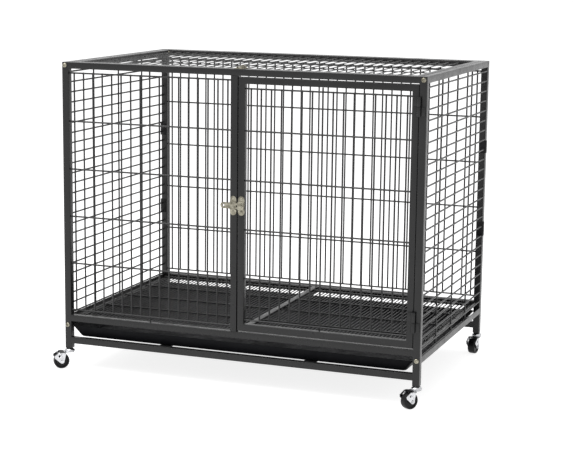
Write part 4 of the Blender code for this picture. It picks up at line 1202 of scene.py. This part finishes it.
    def pedal(self):
        """The brake's pedal, which curves over the wheel and lifts a little at its end."""
        outer = self.arm_faces()[1]
        low, high = (sizes().wheel_radius + height for height in self.pedal_heights)
        sliver = 0.00005  # half the thickness of the section that is spun round the axle
        section = block("brake_pedal", (low, -outer, -sliver), (high, outer, sliver))
        set_down(section, Matrix.Translation(self.axle()) @ Matrix.Rotation(-self.pedal_start, 4, "Y"))
        heading = Matrix.Rotation(-self.pedal_start, 3, "Y") @ Vector((0.0, 0.0, 1.0))
        pick_in(section, "FACE", lambda face: face.normal.dot(heading) > 0.9)
        bpy.ops.mesh.spin(
            steps=14, angle=self.pedal_arc, center=self.axle(), axis=(0.0, -1.0, 0.0), dupli=False
        )
        leave()
        return round_off(face_out(section), every_edge, EASE)

    def brake_arms(self):
        """Two pierced arms from the axle to the pedal."""
        axle = self.axle()
        rim = sizes().wheel_radius + self.pedal_heights[1] - 0.0009
        overrun = 0.003

        def at(reach, degrees):
            turn = math.radians(degrees)
            return axle + Vector((math.cos(turn), 0.0, math.sin(turn))) * reach

        tips = (at(rim, 104.0), at(rim, 143.0), at(0.0202, 153.0))
        holes = ((axle, 0.0028), (at(0.0150, 113.0), 0.0033))
        arms = []
        for sign in (-1.0, 1.0):
            faces = sorted(sign * face for face in self.arm_faces())
            ends = [across("arm_end", tip, faces, 0.0008, 10) for tip in tips]
            arm = hull("brake_arm", [across("arm_boss", axle, faces, 0.0058, 28), *ends])
            for centre, radius in holes:
                through = (faces[0] - overrun, faces[1] + overrun)
                cut(arm, across("arm_hole", centre, through, radius, 20))
            arms.append(round_off(arm, every_edge, 0.0003, 1))
        return join("brake_arms", arms)


# Stage


class CRATE_OT_stage(bpy.types.Operator):
    """Floor, soft light and the camera"""

    bl_idname = "crate.stage"
    bl_label = "Stage"

    def execute(self, context):
        self.floor()
        self.sky(context)
        self.lamp(context)
        self.camera(context)
        context.scene.view_settings.view_transform = "Standard"
        return {"FINISHED"}

    def seen_directly(self, tree):
        """1 for rays from the camera, from a glossy surface or through glass, and 0 for the rest."""
        path = node(tree, "ShaderNodeLightPath").outputs
        seen = path["Is Camera Ray"]
        for label in ("Is Glossy Ray", "Is Transmission Ray"):
            pair = {0: seen, 1: path[label]}
            seen = node(tree, "ShaderNodeMath", pair, operation="MAXIMUM").outputs["Value"]
        return seen

    def floor(self):
        """White paper that lights the crate from below and shows a pale shadow."""
        bounced, seen_tint, seen_glow = 0.93, 0.45, 0.84
        deselect()
        bpy.ops.mesh.primitive_plane_add(size=60.0, location=(0.0, 0.0, 0.0))
        floor = set_down(named("studio_floor"))
        material = bpy.data.materials.new("Studio floor")
        material.use_nodes = True
        tree = material.node_tree
        tree.nodes.clear()
        seen = self.seen_directly(tree)
        tint = {"Color": map_range(tree, seen, bounced, seen_tint)}
        paper = node(tree, "ShaderNodeBsdfDiffuse", tint).outputs["BSDF"]
        level = {"Strength": map_range(tree, seen, 0.0, seen_glow)}
        glow = node(tree, "ShaderNodeEmission", level).outputs["Emission"]
        both = node(tree, "ShaderNodeAddShader", {0: paper, 1: glow}).outputs["Shader"]
        node(tree, "ShaderNodeOutputMaterial", {"Surface": both})
        floor.data.materials.append(material)

    def sky(self, context):
        """Soft light that grows towards the zenith and is plain white where it is seen."""
        studio = context.scene.crate_studio
        world = bpy.data.worlds.new("Studio")
        context.scene.world = world
        world.use_nodes = True
        tree = world.node_tree
        way = {"Vector": node(tree, "ShaderNodeTexCoord").outputs["Generated"]}
        height = node(tree, "ShaderNodeSeparateXYZ", way).outputs["Z"]
        soft = map_range(tree, height, studio.sky_low, studio.sky_high)
        level = map_range(tree, self.seen_directly(tree), soft, 1.0)
        fill(tree, tree.nodes["Background"], {"Color": (1.0, 1.0, 1.0, 1.0), "Strength": level})

    def lamp(self, context):
        deselect()
        bpy.ops.object.light_add(type="AREA", location=(-0.9, -1.1, 3.1))
        lamp = bpy.context.object
        lamp.name = "key_lamp"
        lamp.data.shape = "RECTANGLE"
        lamp.data.size = 2.6
        lamp.data.size_y = 2.0
        lamp.data.energy = context.scene.crate_studio.key_power
        aim = Vector((0.0, 0.0, 0.2)) - lamp.location
        lamp.rotation_euler = aim.to_track_quat("-Z", "Y").to_euler()

    def camera(self, context):
        studio = context.scene.crate_studio
        deselect()
        bpy.ops.object.camera_add()
        camera = bpy.context.object
        camera.name = "photo_camera"
        camera.matrix_world = (
            Matrix.Translation(studio.camera_place)
            @ Matrix.Rotation(studio.camera_yaw, 4, "Z")
            @ Matrix.Rotation(QUARTER_TURN - studio.camera_pitch, 4, "X")
            @ Matrix.Rotation(studio.camera_roll, 4, "Z")
        )
        camera.data.sensor_fit = "HORIZONTAL"
        camera.data.sensor_width = 36.0
        camera.data.lens = studio.camera_lens
        camera.data.clip_end = 200.0
        context.scene.camera = camera


# Add-on


class CRATE_PT_panel(bpy.types.Panel):
    """The crate's pieces, sizes and finishes"""

    bl_idname = "CRATE_PT_panel"
    bl_label = "Dog Crate"
    bl_space_type = "VIEW_3D"
    bl_region_type = "UI"
    bl_category = "Dog Crate"

    def draw(self, context):
        layout = self.layout
        for step in STEPS:
            layout.operator(step.bl_idname, text=step.bl_label)
        for name, group in GROUPS:
            box = layout.box()
            for item in group.__annotations__:
                box.prop(getattr(context.scene, name), item)


GROUPS = (
    ("crate_sizes", CrateSizes),
    ("crate_finishes", CrateFinishes),
    ("crate_studio", CrateStudio),
)
STEPS = (
    CRATE_OT_frame,
    CRATE_OT_corner_bolts,
    CRATE_OT_mats,
    CRATE_OT_door,
    CRATE_OT_lid,
    CRATE_OT_floor,
    CRATE_OT_tray,
    CRATE_OT_hinges,
    CRATE_OT_slide_bolts,
    CRATE_OT_castors,
    CRATE_OT_stage,
)


def register():
    for name, group in GROUPS:
        bpy.utils.register_class(group)
        setattr(bpy.types.Scene, name, PointerProperty(type=group))
    for step in STEPS:
        bpy.utils.register_class(step)
    bpy.utils.register_class(CRATE_PT_panel)


def unregister():
    bpy.utils.unregister_class(CRATE_PT_panel)
    for step in reversed(STEPS):
        bpy.utils.unregister_class(step)
    for name, group in reversed(GROUPS):
        delattr(bpy.types.Scene, name)
        bpy.utils.unregister_class(group)


def main():
    register()
    for step in STEPS:
        family, name = step.bl_idname.split(".")
        getattr(getattr(bpy.ops, family), name)()


if __name__ == "__main__":
    main()
